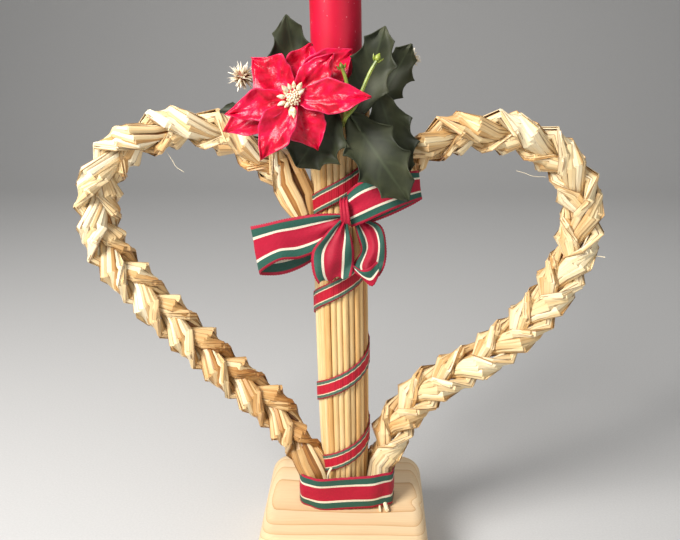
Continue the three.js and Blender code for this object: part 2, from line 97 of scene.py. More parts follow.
def grid_shape(points, uv=None, closed=False, **values):
    """Quads between neighbouring points of one or more grids [grid, row, column], uv at each face
    corner, and values by point. A closed grid is a tube: its last column joins its first and a face
    covers each end; its uv has one column more."""
    count, rows, columns = points.shape[:3]
    column = np.arange(columns if closed else columns - 1)
    grid, row, column = np.meshgrid(np.arange(count), np.arange(rows - 1), column, indexing="ij")
    grid = np.repeat(grid[..., None], 4, -1)
    row = np.stack([row, row, row + 1, row + 1], -1)
    column = np.stack([column, column + 1, column + 1, column], -1)
    faces = ((grid * rows + row) * columns + column % columns).reshape(-1, 4).tolist()
    if uv is None:
        uv = np.zeros((count, rows, columns + 1, 2))
    corners = uv[grid, row, column].reshape(-1, 2)
    if closed:
        ends = np.arange(count)[:, None] * rows * columns + np.arange(columns)
        faces += ends[:, ::-1].tolist() + (ends + (rows - 1) * columns).tolist()
        first_row, last_row = uv[:, 0, :columns][:, ::-1], uv[:, -1, :columns]
        corners = np.concatenate([corners, first_row.reshape(-1, 2), last_row.reshape(-1, 2)])
    shape = {"points": points.reshape(-1, 3), "faces": faces, "corners": corners, "values": {}}
    for name, value in values.items():
        shape["values"][name] = np.broadcast_to(value, points.shape[:3]).reshape(-1)
    return shape


def add_piece(name, shapes, material, closed=True, crease=math.radians(50)):
    """One mesh object of all the shapes, in metres, smooth but for edges sharper than crease."""
    mesh = bpy.data.meshes.new(name)
    starts = np.cumsum([0] + [len(shape["points"]) for shape in shapes])
    faces = [[start + i for i in face] for start, s in zip(starts, shapes) for face in s["faces"]]
    mesh.from_pydata(np.concatenate([s["points"] for s in shapes]) * MM, [], faces)
    layer = mesh.uv_layers.new(name="UVMap")
    layer.uv.foreach_set("vector", np.concatenate([s["corners"] for s in shapes]).ravel())
    for value in sorted({key for s in shapes for key in s["values"]}):
        spread = [s["values"].get(value, np.zeros(len(s["points"]))) for s in shapes]
        attribute = mesh.attributes.new(value, "FLOAT", "POINT")
        attribute.data.foreach_set("value", np.concatenate(spread).astype(np.float32))
    if closed:
        shell = bmesh.new()
        shell.from_mesh(mesh)
        bmesh.ops.recalc_face_normals(shell, faces=shell.faces)
        shell.to_mesh(mesh)
        shell.free()
    mesh.shade_smooth()
    mesh.set_sharp_from_angle(angle=crease)
    mesh.materials.append(material)
    piece = bpy.data.objects.new(name, mesh)
    bpy.context.scene.collection.objects.link(piece)
    return piece


def rounded_block():
    """Rows go up the middle of the underside, the side and the top; each is a rectangle with round
    corners, drawn in by the rounding of the edge it passes and shrunk to the middle at both ends."""
    quarter = np.linspace(0, math.pi / 2, 9)
    edge = [(BLOCK_ROUND * (1 - math.sin(a)), BLOCK_ROUND * (1 - math.cos(a))) for a in quarter[::-1]]
    shrink = [0.03, 0.35, 0.7, 0.97]
    rows = [(s, BLOCK_ROUND * 0.15, 0.0) for s in shrink]
    rows += [(1.0, BLOCK_CHAMFER, 0.0), (1.0, 0.0, BLOCK_CHAMFER)]
    rows += [(1.0, 0.0, z) for z in np.linspace(0, BLOCK_TOP - BLOCK_ROUND, 7)[1:]]
    rows += [(1.0, inset, BLOCK_TOP - drop) for inset, drop in edge[1:]]
    rows += [(s, BLOCK_ROUND, BLOCK_TOP) for s in shrink[::-1]]
    scale, inset, height = np.array(rows).T[:, :, None]
    turns = np.concatenate([quarter + q * math.pi / 2 for q in range(4)])
    signs = np.repeat([[1, 1], [-1, 1], [-1, -1], [1, -1]], 9, axis=0)
    radius = BLOCK_CORNER - inset
    x = signs[:, 0] * (BLOCK_HALF[0] - BLOCK_CORNER) + radius * np.cos(turns)
    y = signs[:, 1] * (BLOCK_HALF[1] - BLOCK_CORNER) + radius * np.sin(turns)
    return np.stack([x * scale, y * scale, height + 0 * x], -1)[None]


pine = bare_material("planed pine, bare")
# Bare planed pine: cream early wood that darkens over each ring to a thin line of late wood, and
# fine fibres from left to right. Rings are 2.45 mm apart; fibres are drawn 0.5 mm wide.
place = add_node(pine, "TexCoord").outputs["Object"]
place = add_node(pine, "VectorMath", {0: place, "Scale": 1000.0}, operation="SCALE")
slow = add_node(pine, "VectorMath", {0: place, 1: (0.012, 0.03, 0.03)}, operation="MULTIPLY")
wander = add_node(pine, "TexNoise", {"Vector": slow, "Scale": 1.0, "Detail": 2.0})
knot = add_node(pine, "VectorMath", {0: place, 1: KNOT_PLACE}, operation="DISTANCE")
knot = add_node(
    pine, "MapRange", {"Value": knot.outputs["Value"], 1: 0.0, 2: KNOT_RADIUS, 3: KNOT_LIFT, 4: 0.0},
    interpolation_type="SMOOTHSTEP",
)
offset = add_node(pine, "VectorMath", {0: place, 1: RING_AXIS}, operation="SUBTRACT")
flat = add_node(pine, "VectorMath", {0: offset, 1: (0.0, 1.0, 1.0)}, operation="MULTIPLY")
radius = add_node(pine, "VectorMath", {0: flat}, operation="LENGTH").outputs["Value"]
shift = add_node(pine, "Math", {0: wander, 1: RING_WANDER, 2: radius}, operation="MULTIPLY_ADD")
shift = add_node(pine, "Math", {0: shift, 1: knot}, operation="ADD")
ring = add_node(pine, "Math", {0: shift, 1: RING_FIRST + RING_WANDER / 2}, operation="SUBTRACT")
ring = add_node(pine, "Math", {0: ring, 1: RING_STEP}, operation="DIVIDE")
ring = add_node(pine, "Math", {0: ring}, operation="FRACT")
wood = add_node(
    pine, "ValToRGB", {"Fac": ring},
    stops=[
        (0.0, "#ecd0a6"), (0.6, "#e9cb9e"), (0.9, "#e3bf90"), (0.965, "#d5aa76"), (0.985, "#c2915c"),
        (1.0, "#ecd0a6"),
    ],
)
fine = add_node(pine, "VectorMath", {0: place, 1: (0.06, 2.0, 2.0)}, operation="MULTIPLY")
fibre = add_node(pine, "TexNoise", {"Vector": fine, "Scale": 1.0, "Detail": 3.0})
shade = add_node(pine, "MapRange", {"Value": fibre, 1: 0.3, 2: 0.7, 3: 0.9, 4: 1.04})
wood = add_node(pine, "VectorMath", {0: wood, "Scale": shade}, operation="SCALE")
relief = add_node(pine, "Bump", {"Height": fibre, "Distance": 0.0001, "Strength": 0.5})
surface = add_node(
    pine, "BsdfPrincipled",
    {"Base Color": wood, "Roughness": 0.52, "IOR": 1.5, "Normal": relief},
)
add_node(pine, "OutputMaterial", {"Surface": surface})

block = add_piece("block_of_pine", [grid_shape(rounded_block(), closed=True)], pine)
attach(block, "root")
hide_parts("pine_block")

# Straw bundle: about sixty hollow straws stood upright and tied. The outer ring shows, with a dark gap
# beside each straw, darkened by painted shade on the inner straws seen in the gaps and on the outer
# straws' sides; the inner straws stop lower, so that the candle can stand among the rest.

LEAN = math.radians(-1.2)
LEAN_FOOT = (0.4, 34.3)
BUNDLE_HEIGHTS = [0, 20, 45, 100, 150, 172, 188, 201.5]
BUNDLE_RADII = [11.5, 11.7, 12.3, 12.6, 12.4, 12.8, 14.0, 14.4]
BUNDLE_TOP = 201.5
OUTER_STRAWS = 25
SEAT_HEIGHT = 185.0
HOLLOW_SHARES, HOLLOW_DEPTH = [0.68, 0.66], 5.0
INNER_RADIUS = 1.4
# Radius of each ring of inner straws, and how many stand on it.
INNER_RINGS = [(8.7, 17), (5.9, 11), (3.0, 6), (0.0, 1)]


def leaned(points):
    """Points of the upright part, turned about the front-to-back line at its foot and set on the
    block."""
    x = points[..., 0] * math.cos(LEAN) + points[..., 2] * math.sin(LEAN) + LEAN_FOOT[0]
    z = points[..., 2] * math.cos(LEAN) - points[..., 0] * math.sin(LEAN) + LEAN_FOOT[1]
    return np.stack([x, points[..., 1], z], -1)


def outer_straws(chance):
    """Each straw is a slightly oval tube. Its middle keeps inside the bundle's radius at each height,
    wanders a little, and its top is hollow: the last rows turn in over the rim and go down inside."""
    rows = 30
    number = np.arange(OUTER_STRAWS)[:, None]
    radius = chance.uniform(1.3, 1.62, (OUTER_STRAWS, 1))
    top = BUNDLE_TOP - chance.uniform(0, 1.4, (OUTER_STRAWS, 1))
    height = np.linspace(0, 1, rows) * top
    sunk = chance.choice([0.0, 0.15, 0.75], (OUTER_STRAWS, 1), p=[0.5, 0.3, 0.2])
    sway = chance.uniform(-1, 1, (OUTER_STRAWS, 1)) * 0.03
    sway = sway * np.sin(height / 60 + chance.uniform(0, 6, (OUTER_STRAWS, 1)))
    turn = 2 * math.pi * (number + 0.5) / OUTER_STRAWS + sway
    reach = np.interp(height, BUNDLE_HEIGHTS, BUNDLE_RADII) - radius - sunk
    height = np.concatenate([height, height[:, -1:], height[:, -1:] - HOLLOW_DEPTH], 1)
    turn = np.concatenate([turn, turn[:, -1:], turn[:, -1:]], 1)
    reach = np.concatenate([reach, reach[:, -1:], reach[:, -1:]], 1)
    size = radius * np.concatenate([np.ones(rows), HOLLOW_SHARES])
    around = np.linspace(0, 2 * math.pi, 13)[:-1] + turn[..., None]
    x = reach[..., None] * np.cos(turn[..., None]) + size[..., None] * np.cos(around)
    y = reach[..., None] * np.sin(turn[..., None]) + size[..., None] * np.sin(around)
    points = leaned(np.stack([x, y, height[..., None] + 0 * x], -1))
    across = np.linspace(0, 9.4, 13) + chance.uniform(0, 90, (OUTER_STRAWS, 1))
    along = height + chance.uniform(0, 400, (OUTER_STRAWS, 1))
    uv = np.stack(np.broadcast_arrays(across[:, None], along[:, :, None]), -1)
    # Painted shade: straws on the bundle's right, away from the main light, get a darker tone than those
    # on its left.
    tone = 0.6 - 0.14 * np.cos(turn) + chance.uniform(-0.2, 0.2, (OUTER_STRAWS, 1))
    # Painted shade: marks the sides of each straw that face its neighbours, to be painted browner.
    edge = np.abs(np.sin(around - turn[..., None])) ** 3
    return grid_shape(points, uv, closed=True, tone=tone[..., None], edge=edge)


def inner_straws(chance):
    """Plain straight tubes on rings of smaller radius, painted dark as shade in the gaps between the outer
    straws.
    """
    turn = np.concatenate([2 * math.pi * np.arange(n) / n + r for r, n in INNER_RINGS])[:, None, None]
    reach = np.concatenate([np.full(n, r) for r, n in INNER_RINGS])[:, None, None]
    around = np.linspace(0, 2 * math.pi, 9)[:-1]
    height = np.array([0.0, 60.0, 120.0, SEAT_HEIGHT])[None, :, None]
    x = reach * np.cos(turn) + INNER_RADIUS * np.cos(around) + 0 * height
    y = reach * np.sin(turn) + INNER_RADIUS * np.sin(around) + 0 * height
    points = leaned(np.stack([x, y, height + 0 * x], -1))
    # Painted shade: the inner straws, seen only in the gaps, get a dark tone.
    tone = chance.uniform(0.1, 0.4, (len(turn), 1, 1))
    return grid_shape(points, closed=True, tone=tone)


def straw_material(name, colours, roughness):
    """Dried straw: pale waxy skin with lengthwise fibres, each straw of its own tone (which also carries
    the painted shade that the callers put in), with patches of stain, and painted shade browner at its
    sides where it lies against its neighbours. Fibres 0.1 mm apart are drawn 0.5 mm apart so that they
    show."""
    straw = bare_material(name)
    uv = add_node(straw, "UVMap", uv_map="UVMap")
    tone = add_node(straw, "Attribute", attribute_name="tone").outputs["Fac"]
    stretched = add_node(straw, "VectorMath", {0: uv, 1: (2.1, 0.022, 1.0)}, operation="MULTIPLY")
    fibre = add_node(straw, "TexNoise", {"Vector": stretched, "Scale": 1.0, "Detail": 3.0})
    patchy = add_node(straw, "VectorMath", {0: uv, 1: (0.12, 0.05, 1.0)}, operation="MULTIPLY")
    stain = add_node(straw, "TexNoise", {"Vector": patchy, "Scale": 1.0, "Detail": 2.0})
    mixed = add_node(straw, "Math", {0: fibre, 1: 0.5, 2: -0.25}, operation="MULTIPLY_ADD")
    mixed = add_node(straw, "Math", {0: mixed, 1: tone}, operation="ADD")
    patch = add_node(straw, "Math", {0: stain, 1: 0.34, 2: -0.17}, operation="MULTIPLY_ADD")
    mixed = add_node(straw, "Math", {0: mixed, 1: patch}, operation="ADD")
    skin = add_node(straw, "ValToRGB", {"Fac": mixed}, stops=colours)
    # Painted shade: the straw is browner towards its sides, where it lies against its neighbours.
    edge = add_node(straw, "Attribute", attribute_name="edge").outputs["Fac"]
    shade_between_straws = add_node(straw, "MapRange", {"Value": edge, 1: 0.78, 2: 0.97, 3: 0.0, 4: 0.85})
    colour = add_node(straw, "Mix", {0: shade_between_straws, 6: skin, 7: linear("#7d4a1c")}, data_type="RGBA")
    relief = add_node(straw, "Bump", {"Height": fibre, "Distance": 0.00018, "Strength": 0.7})
    surface = add_node(
        straw, "BsdfPrincipled",
        {"Base Color": colour.outputs[2], "Roughness": roughness, "IOR": 1.5,
         "Normal": relief},
    )
    add_node(straw, "OutputMaterial", {"Surface": surface})
    return straw


upright_straw = straw_material(
    "rye straw, whole",
    [(0.0, "#6e4118"), (0.22, "#a97136"), (0.45, "#cc9c5b"), (0.7, "#e3bf84"), (1.0, "#f4dfb2")],
    0.36,
)
chance = np.random.default_rng(11)
bundle = add_piece("bundle_of_straws", [outer_straws(chance), inner_straws(chance)], upright_straw)
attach(bundle, "root")
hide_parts("straw_bundle")

# Plaits: three strands of damp, flattened straw laid over one another and bent to half a heart each.
# A strand fans out where it crosses the front and is drawn together where it tucks under, and the
# straws crease as they turn the edge. They are tied only at the foot and at the top.

ON_BLOCK = np.array([0, 0, BLOCK_TOP])
STRANDS = 3
STRAND_SWING = 6.5
STRAND_RISE = 3.4
STRAND_WIDE, STRAND_NARROW = 6.3, 3.3
STRAND_THIN, STRAND_THICK = 2.7, 4.2
STRAWS_ROUND, STRAWS_INSIDE = 12, 5
STRAWS = STRAWS_ROUND + STRAWS_INSIDE
INSIDE = np.arange(STRAWS) >= STRAWS_ROUND
# Degrees of a strand's turn from its fold to each ring, and the mm that part the two rings of a fold.
RINGS_FROM_FOLD = [-142, -98, -52, 0, 0, 52, 98, 142, 180]
RING_GAPS = [0, 0, 0, -1.5, 1.5, 0, 0, 0, 0]
FOLD_SLIP, RING_SLIP = 0.36, 0.1
CHORD_REACH = 1.05
COMES_FREE_OVER = 24
TIED_IN_FRONT, TIED_HOLLOW = 2.2, 0.035
SPREAD_LAG = math.radians(15)
PROUD_LEAST, PROUD_MOST = 0.2, 1.3
STRAW_TILT = 0.06
STRAW_BROAD, INNER_BROAD = (3.4, 5.2), 3.2
STRAW_HALF_THICK, EDGE_DROOP = 0.32, 0.7
PLAIT_CREASE = math.radians(19)

# Line: places of the plait's middle over the block. Pace: turns done at lengths along it. In degrees,
# phase is where the first strand starts, roll how far the plait is turned about its line, and fold
# where the straws crease; over is the way the strands cross. Tied at foot and top: the covering
# strand, half its width, and the length over which its straws lie parallel. Painted shade: how much
# browner the straws are painted at the folds of the inner edge, towards the foot and towards the top,
# where shade falls.
LEFT_PLAIT = {
    "line": [
        (-11.4, -4.8, 0.4), (-15.0, -5.9, 17), (-23, -4, 33), (-36.5, -0.8, 50.4), (-55.5, 0, 67.5),
        (-76.5, 0, 89.1), (-96.6, 0, 111.2), (-110.5, 0, 129.2), (-114.1, 0, 145.6), (-112, 0, 162.1),
        (-103.3, 0, 175.9), (-88.6, 0, 184), (-75.4, 0, 187.7), (-61.2, 0, 187.3), (-45, 0, 179.8),
        (-31.4, -1.2, 170.5), (-22.8, -3.4, 160), (-18, -4.4, 148),
    ],
    "pace": [(0, 0), (190, 2.836), (340, 4.87)],
    "phase": 54.5, "over": 1, "roll": 42, "fold": 90,
    "foot": (1, 7.2, 22), "top": (1, 8.7, 10), "painted_shade": (0.22, 0.3, 0.24),
}
RIGHT_PLAIT = {
    "line": [
        (17.6, -2, 0.4), (17.8, -2, 17), (22, -1, 35.5), (31.9, 0, 53), (44.9, 0, 65.6), (60.5, 0, 75.6),
        (76.6, 0, 87.4), (89.9, 0, 102.3), (100.2, 0, 119.5), (106, 0, 138.6), (105, 0, 157.4),
        (97.2, 0, 171.5), (85.2, 0, 181.3), (68.5, 0, 186.2), (52.5, 0, 186), (39.4, 0, 182),
        (28.2, 0, 172), (22, 0, 156),
    ],
    "pace": [(0, 0), (340, 5.075)],
    "phase": 19, "over": -1, "roll": -42, "fold": 270,
    "foot": (2, 6.6, 10), "top": (2, 6.0, 4), "painted_shade": (0.14, 0.08, 0.2),
}
# Places and radius of each thread that stands off, and of each cut straw end at the foot.
LEFT_LOOSE = [
    ([(-80.5, 0, 177), (-77.8, -1, 173), (-76.2, -2, 170.6), (-72.5, -3, 168.4)], 0.08),
    ([(-8.2, -10.4, 15), (-8, -12, 19.5), (-6.4, -12.8, 23.6)], 0.55),
]
RIGHT_LOOSE = [
    ([(76, 0, 169.4), (79.5, -1, 168.6), (83, -2, 167.4), (88.6, -3, 167.3)], 0.08),
    ([(112, -3, 131), (114.5, -5, 131.6), (117.4, -6, 131.4)], 0.2),
    ([(19.4, -7, 3.2), (20.6, -12, 2.4), (21.4, -15.6, 1.8)], 1.0),
    ([(17.6, -9, 2), (17.8, -13, 1.4), (18.0, -15.4, 1.0)], 0.6),
]


def smooth_line(places):
    """Curve through the places with centripetal tangents, as close points and the length up to each:
    Hermite curves over spans as long as the square root of the distance between the places."""
    p = np.array(places, float)
    p = np.vstack([2 * p[0] - p[1], p, 2 * p[-1] - p[-2]])
    span = np.linalg.norm(np.diff(p, axis=0), axis=1, keepdims=True) ** 0.5
    ahead, behind = span[1:], span[:-1]
    slope = (p[1:-1] - p[:-2]) / behind - (p[2:] - p[:-2]) / (ahead + behind) + (p[2:] - p[1:-1]) / ahead
    t = np.linspace(0, 1, 40, endpoint=False)[:, None, None]
    start, end, gap = p[1:-2], p[2:-1], span[1:-1]
    points = (
        (2 * t**3 - 3 * t**2 + 1) * start + (t**3 - 2 * t**2 + t) * gap * slope[:-1]
        + (3 * t**2 - 2 * t**3) * end + (t**3 - t**2) * gap * slope[1:]
    )
    points = np.vstack([points.transpose(1, 0, 2).reshape(-1, p.shape[1]), p[-2:-1]])
    lengths = np.concatenate([[0], np.cumsum(np.linalg.norm(np.diff(points, axis=0), axis=1))])
    return points, lengths


def on_line(line, distance):
    """Points of a smooth line at the given lengths along it."""
    points, lengths = line
    return np.stack([np.interp(distance, lengths, axis) for axis in points.T], -1)


def smoothstep(value, low, high):
    """3 t^2 - 2 t^3 of the value's share of the way from low to high."""
    t = np.clip((value - low) / (high - low), 0, 1)
    return t * t * (3 - 2 * t)


def unit(vectors):
    """Vectors of length one."""
    return vectors / np.maximum(np.linalg.norm(vectors, axis=-1, keepdims=True), 1e-9)


def straw_rings(plan, length, number, chance):
    """Where each straw has its rings: nine a turn of the strand, two of them close together at the
    fold. Straws slip past one another a little. Gives the lengths [straw, ring], the turn count of
    each ring and whether it is at a fold."""
    paced, paced_turns = np.array(plan["pace"], float).T
    cycles = np.arange(-1, int(paced_turns[-1]) + 3)
    turns = (cycles[:, None] + (plan["fold"] + np.array(RINGS_FROM_FOLD)) / 360).ravel()
    turns = turns - math.radians(plan["phase"]) / (2 * math.pi) - number / STRANDS
    rings = np.interp(turns, paced_turns, paced)
    gap = np.tile(RING_GAPS, len(cycles))
    kept = (rings > 4) & (rings < length - 4)
    cycle = np.repeat(np.arange(len(cycles)), len(RINGS_FROM_FOLD))[kept]
    slip = chance.normal(0, FOLD_SLIP, (STRAWS, len(cycles)))[:, cycle]
    slip = slip + chance.normal(0, RING_SLIP, (STRAWS, len(cycle)))
    start = chance.uniform(0, 0.8, (STRAWS, 1))
    end = length - chance.uniform(0, 2.5, (STRAWS, 1))
    distance = np.concatenate([start, (rings + gap)[kept] + slip, end], 1)
    folded = np.concatenate([[0], np.abs(gap[kept]) > 0, [0]])
    return distance, np.concatenate([cycle[:1], cycle, cycle[-1:]]), folded, len(cycles)


def strand_oval(plan, number, length, distance, corner, folded, cycles, chance):
    """Place of each straw in the plait's section [straw, ring, (right, back)], with its way outwards.
    The strand's middle swings from side to side once a turn and rises and dips twice; its oval turns
    over at each edge, is widest just past the edge and is drawn together where it dives. Tied ends
    blend to straws that lie parallel, the covering strand in front."""
    phase, over, fold = math.radians(plan["phase"]), plan["over"], math.radians(plan["fold"])
    (foot_strand, foot_half, foot_reach), (top_strand, top_half, top_reach) = plan["foot"], plan["top"]
    paced, paced_turns = np.array(plan["pace"], float).T
    turn = phase + 2 * math.pi * (np.interp(distance, paced, paced_turns) + number / STRANDS)
    to_top = length - distance
    near_top = distance > length / 2
    ahead = np.where(near_top, 1.6 * (number == top_strand), 1.6 * (number == foot_strand)) - 0.6
    free = smoothstep(distance, foot_reach, foot_reach + COMES_FREE_OVER)
    free = free * smoothstep(to_top, top_reach, top_reach + COMES_FREE_OVER)

    # Places round the oval drift a little along the plait; the inside straws lie on a smaller oval.
    place = np.arange(STRAWS_ROUND) / STRAWS_ROUND
    place = np.concatenate([place, np.arange(STRAWS_INSIDE) / STRAWS_INSIDE])
    place = (place + chance.normal(0, 0.012, STRAWS))[:, None]
    place = place + np.cumsum(chance.normal(0, 0.0025, distance.shape), 1)
    place = 2 * math.pi * (place + 0.05 * number)
    share = np.where(INSIDE, 0.45, 1.0)[:, None] * (1 + chance.normal(0, 0.03, (STRAWS, 1)))

    # The oval's half width and half thickness, and the straws that stand proud at a fold.
    spread = np.abs(np.sin(turn - over * SPREAD_LAG)) ** 1.3
    half = np.where(near_top, top_half, foot_half)
    width = STRAND_NARROW + (STRAND_WIDE - STRAND_NARROW) * spread
    width = (half + (width - half) * free) * (0.45 + 0.55 * smoothstep(to_top, 0, 16))
    thickness = STRAND_THICK + (STRAND_THIN - STRAND_THICK) * spread
    thickness = STRAND_THIN + (thickness - STRAND_THIN) * free
    across = np.cos(place) * share * width
    thick = np.sin(place) * share * thickness
    proud = PROUD_LEAST + PROUD_MOST * chance.uniform(0, 1, (STRAWS, cycles)) ** 4
    proud = proud[:, corner] * folded * free
    thick = thick + np.sign(thick) * proud * (np.abs(np.sin(place)) > 0.4)

    # Which way the oval faces and where its middle is; a tied end keeps the side it was tied on.
    free_from = np.interp(np.where(near_top, length - top_reach, foot_reach), paced, paced_turns)
    end_side = np.sign(np.cos(phase + 2 * math.pi * (free_from + number / STRANDS)))
    face = end_side + (np.clip(1.3 * np.cos(turn), -1, 1) - end_side) * free
    face = math.pi + math.pi / 2 * face
    normal = np.stack([np.cos(face), over * np.sin(face)], -1)
    wide = np.stack([-np.sin(face), over * np.cos(face)], -1)
    apart = free * CHORD_REACH
    inner = 1 - 0.2 * np.clip(math.sin(fold) * np.sin(turn), 0, 1)
    swing = STRAND_SWING * apart * inner * np.sin(turn)
    rise = STRAND_RISE * over * apart * np.sin(2 * turn)
    middle = np.stack([swing, rise - TIED_IN_FRONT * ahead * (1 - free)], -1)
    flat = middle + wide * across[..., None] + normal * thick[..., None]
    flat[..., 1] += TIED_HOLLOW * across**2 * (1 - free)
    outward = unit(
        wide * (np.cos(place) / np.maximum(width, 1))[..., None] * 0.6
        + normal * (np.sin(place) / np.maximum(thickness, 1))[..., None] * 1.2
    )
    return flat, outward, turn, spread, free


def strand_straws(plan, line, number, chance):
    """Flat straws of one strand, each carried along the plait's line at its place in the section. A
    straw's own section is a lens 0.64 mm thick whose edges droop; it is broadest where the strand
    fans out. Its tone is painted darker as shade: on the straws inside the strand, at the folds of
    the inner edge, towards the foot and towards the top."""
    length = line[1][-1]
    distance, corner, folded, cycles = straw_rings(plan, length, number, chance)
    section = strand_oval(plan, number, length, distance, corner, folded, cycles, chance)
    flat, outward, turn, spread, free = section

    # From the section to the object's frame: right and back are rolled about the line.
    point = on_line(line, distance)
    before, after = np.maximum(distance - 1, 0), np.minimum(distance + 1, length)
    tangent = unit(on_line(line, after) - on_line(line, before))
    sideways = np.stack([tangent[..., 2], 0 * distance, -tangent[..., 0]], -1)
    backward = np.array([0.0, 1.0, 0.0])
    rolled = (math.radians(plan["roll"]) * free)[..., None]
    right = np.cos(rolled) * sideways + np.sin(rolled) * backward
    back = np.cos(rolled) * backward - np.sin(rolled) * sideways
    point = point + flat[..., :1] * right + flat[..., 1:] * back + ON_BLOCK
    out = outward[..., :1] * right + outward[..., 1:] * back

    # Each straw's lens, across its side and its outward way.
    way = unit(np.gradient(point, axis=1))
    side = unit(np.cross(way, out))
    out = np.cross(side, way)
    tilt = chance.normal(0, STRAW_TILT, (STRAWS, 1, 1))
    side, out = side * np.cos(tilt) + out * np.sin(tilt), out * np.cos(tilt) - side * np.sin(tilt)
    broad = np.where(INSIDE, INNER_BROAD, chance.uniform(*STRAW_BROAD, STRAWS))[:, None, None]
    broad = broad * (0.62 + 0.38 * (0.9 + (spread - 0.9) * free))[..., None]
    around = np.linspace(0, 2 * math.pi, 9)[:-1]
    reach = broad / 2 * np.cos(around)
    lift = STRAW_HALF_THICK * np.sin(around) * (1 - 0.3 * np.abs(np.cos(around)))
    lift = lift - EDGE_DROOP * np.cos(around) ** 2 * broad / 5
    points = point[:, :, None] + side[:, :, None] * reach[..., None] + out[:, :, None] * lift[..., None]

    # Place on the straw's skin in mm, away from the other straws' places, and its tone.
    u = np.linspace(0, 2, 9) * broad[:, 2:3] + chance.uniform(0, 90, (STRAWS, 1, 1))
    v = distance[..., None] + chance.uniform(0, 400, (STRAWS, 1, 1))
    # Painted shade: the three amounts below paint the straws browner at the folds of the inner edge, near
    # the foot and near the top.
    fold_shade, foot_shade, top_shade = plan["painted_shade"]
    # Painted shade: the straws inside the strand, seen in the gaps, get a dark tone.
    tone = (np.where(INSIDE, 0.12, 0.6) + chance.normal(0, 0.12, STRAWS))[:, None]
    folded_away = np.clip(math.sin(math.radians(plan["fold"])) * np.sin(turn), 0, 1) ** 2
    near_foot = 1 - smoothstep(distance, 20, 200)
    near_top = 1 - smoothstep(length - distance, 10, 75)
    tone = tone + 0.1 - fold_shade * folded_away - foot_shade * near_foot - top_shade * near_top
    uv = np.stack(np.broadcast_arrays(u, v), -1)
    # Its edges, where it lies against its neighbours, are marked for the same painted shade.
    return grid_shape(points, uv, closed=True, tone=tone[..., None], edge=np.abs(np.cos(around)))


def tube(places, radius, columns=7, step=1.5):
    """A round wire along a smooth line; the radius is one number, or runs evenly between two."""
    line = smooth_line(places)
    count = max(int(line[1][-1] / step), 2)
    middle = on_line(line, np.linspace(0, line[1][-1], count))
    way = unit(np.gradient(middle, axis=0))
    helper = np.array([0.31, 0.95, 0.1])
    side = unit(np.cross(way, helper))
    other = np.cross(way, side)
    around = np.linspace(0, 2 * math.pi, columns + 1)[:-1]
    ring = side[:, None] * np.cos(around)[:, None] + other[:, None] * np.sin(around)[:, None]
    first, last = np.broadcast_to(radius, 2)
    return (middle[:, None] + ring * np.linspace(first, last, count)[:, None, None])[None]


def wire(places, radius, **values):
    """A closed round wire whose places are given from the block's top."""
    return grid_shape(tube(np.array(places) + ON_BLOCK, radius), closed=True, **values)


def plait(name, plan, loose, seed):
    """Three strands a third of a turn apart along the same line, and the loose bits."""
    chance = np.random.default_rng(seed)
    line = smooth_line(plan["line"])
    strands = [strand_straws(plan, line, number, chance) for number in range(STRANDS)]
    bits = [wire(places, radius, tone=0.9) for places, radius in loose]
    return add_piece(name, strands + bits, flat_straw, crease=PLAIT_CREASE)


flat_straw = straw_material(
    "rye straw, flattened and plaited",
    [(0.0, "#6d3f18"), (0.2, "#a97338"), (0.42, "#d0a468"), (0.66, "#edd3a0"), (1.0, "#faefd0")],
    0.4,
)
left_plait = plait("left_plait", LEFT_PLAIT, LEFT_LOOSE, 21)
right_plait = plait("right_plait", RIGHT_PLAIT, RIGHT_LOOSE, 22)
for piece, node in ((left_plait, "plait_left"), (right_plait, "plait_right")):
    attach(piece, "root")
    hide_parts(node)

# Foot ribbon: 18.5 mm woven ribbon wrapped once round the feet of the bundle and both plaits, its
# end stuck down at the back. It is a little rumpled, and slants up towards the front right.

WIDE_WIDTH = 18.5
CLOTH_THICK = 0.4
SCALLOP = 0.25
FOOT_MIDDLE = 0.95
FOOT_HEIGHT, FOOT_SLANT = 9.7, 0.085
FOOT_OVERLAP = 0.9
FOOT_HALF = (24.4, 14.0)
FOOT_SQUARENESS = 0.62
STRIPES = [(0.0, "#b00c30"), (0.42, "#e6dcc4"), (0.54, "#27584a"), (0.88, "#ac1032")]
NARROW_STRIPES = [(0.0, "#b8102a"), (0.5, "#e0d0b0"), (0.6, "#4a6a58"), (0.88, "#a01a30")]


def ribbon_shape(points, along, shown=(0.0, 1.0)):
    """A strip of cloth with a scalloped edge: u goes over the shown share of the width, v is the
    length in mm. The outermost points of every other row stand 0.25 mm proud."""
    rows, columns = points.shape[:2]
    scallop = SCALLOP * (np.arange(rows) % 2)[:, None]
    points = points.copy()
    points[:, 0] += unit(points[:, 0] - points[:, 1]) * scallop
    points[:, -1] += unit(points[:, -1] - points[:, -2]) * scallop
    uv = np.stack(np.broadcast_arrays(np.linspace(*shown, columns), along[:, None]), -1)
    return grid_shape(points[None], uv[None])


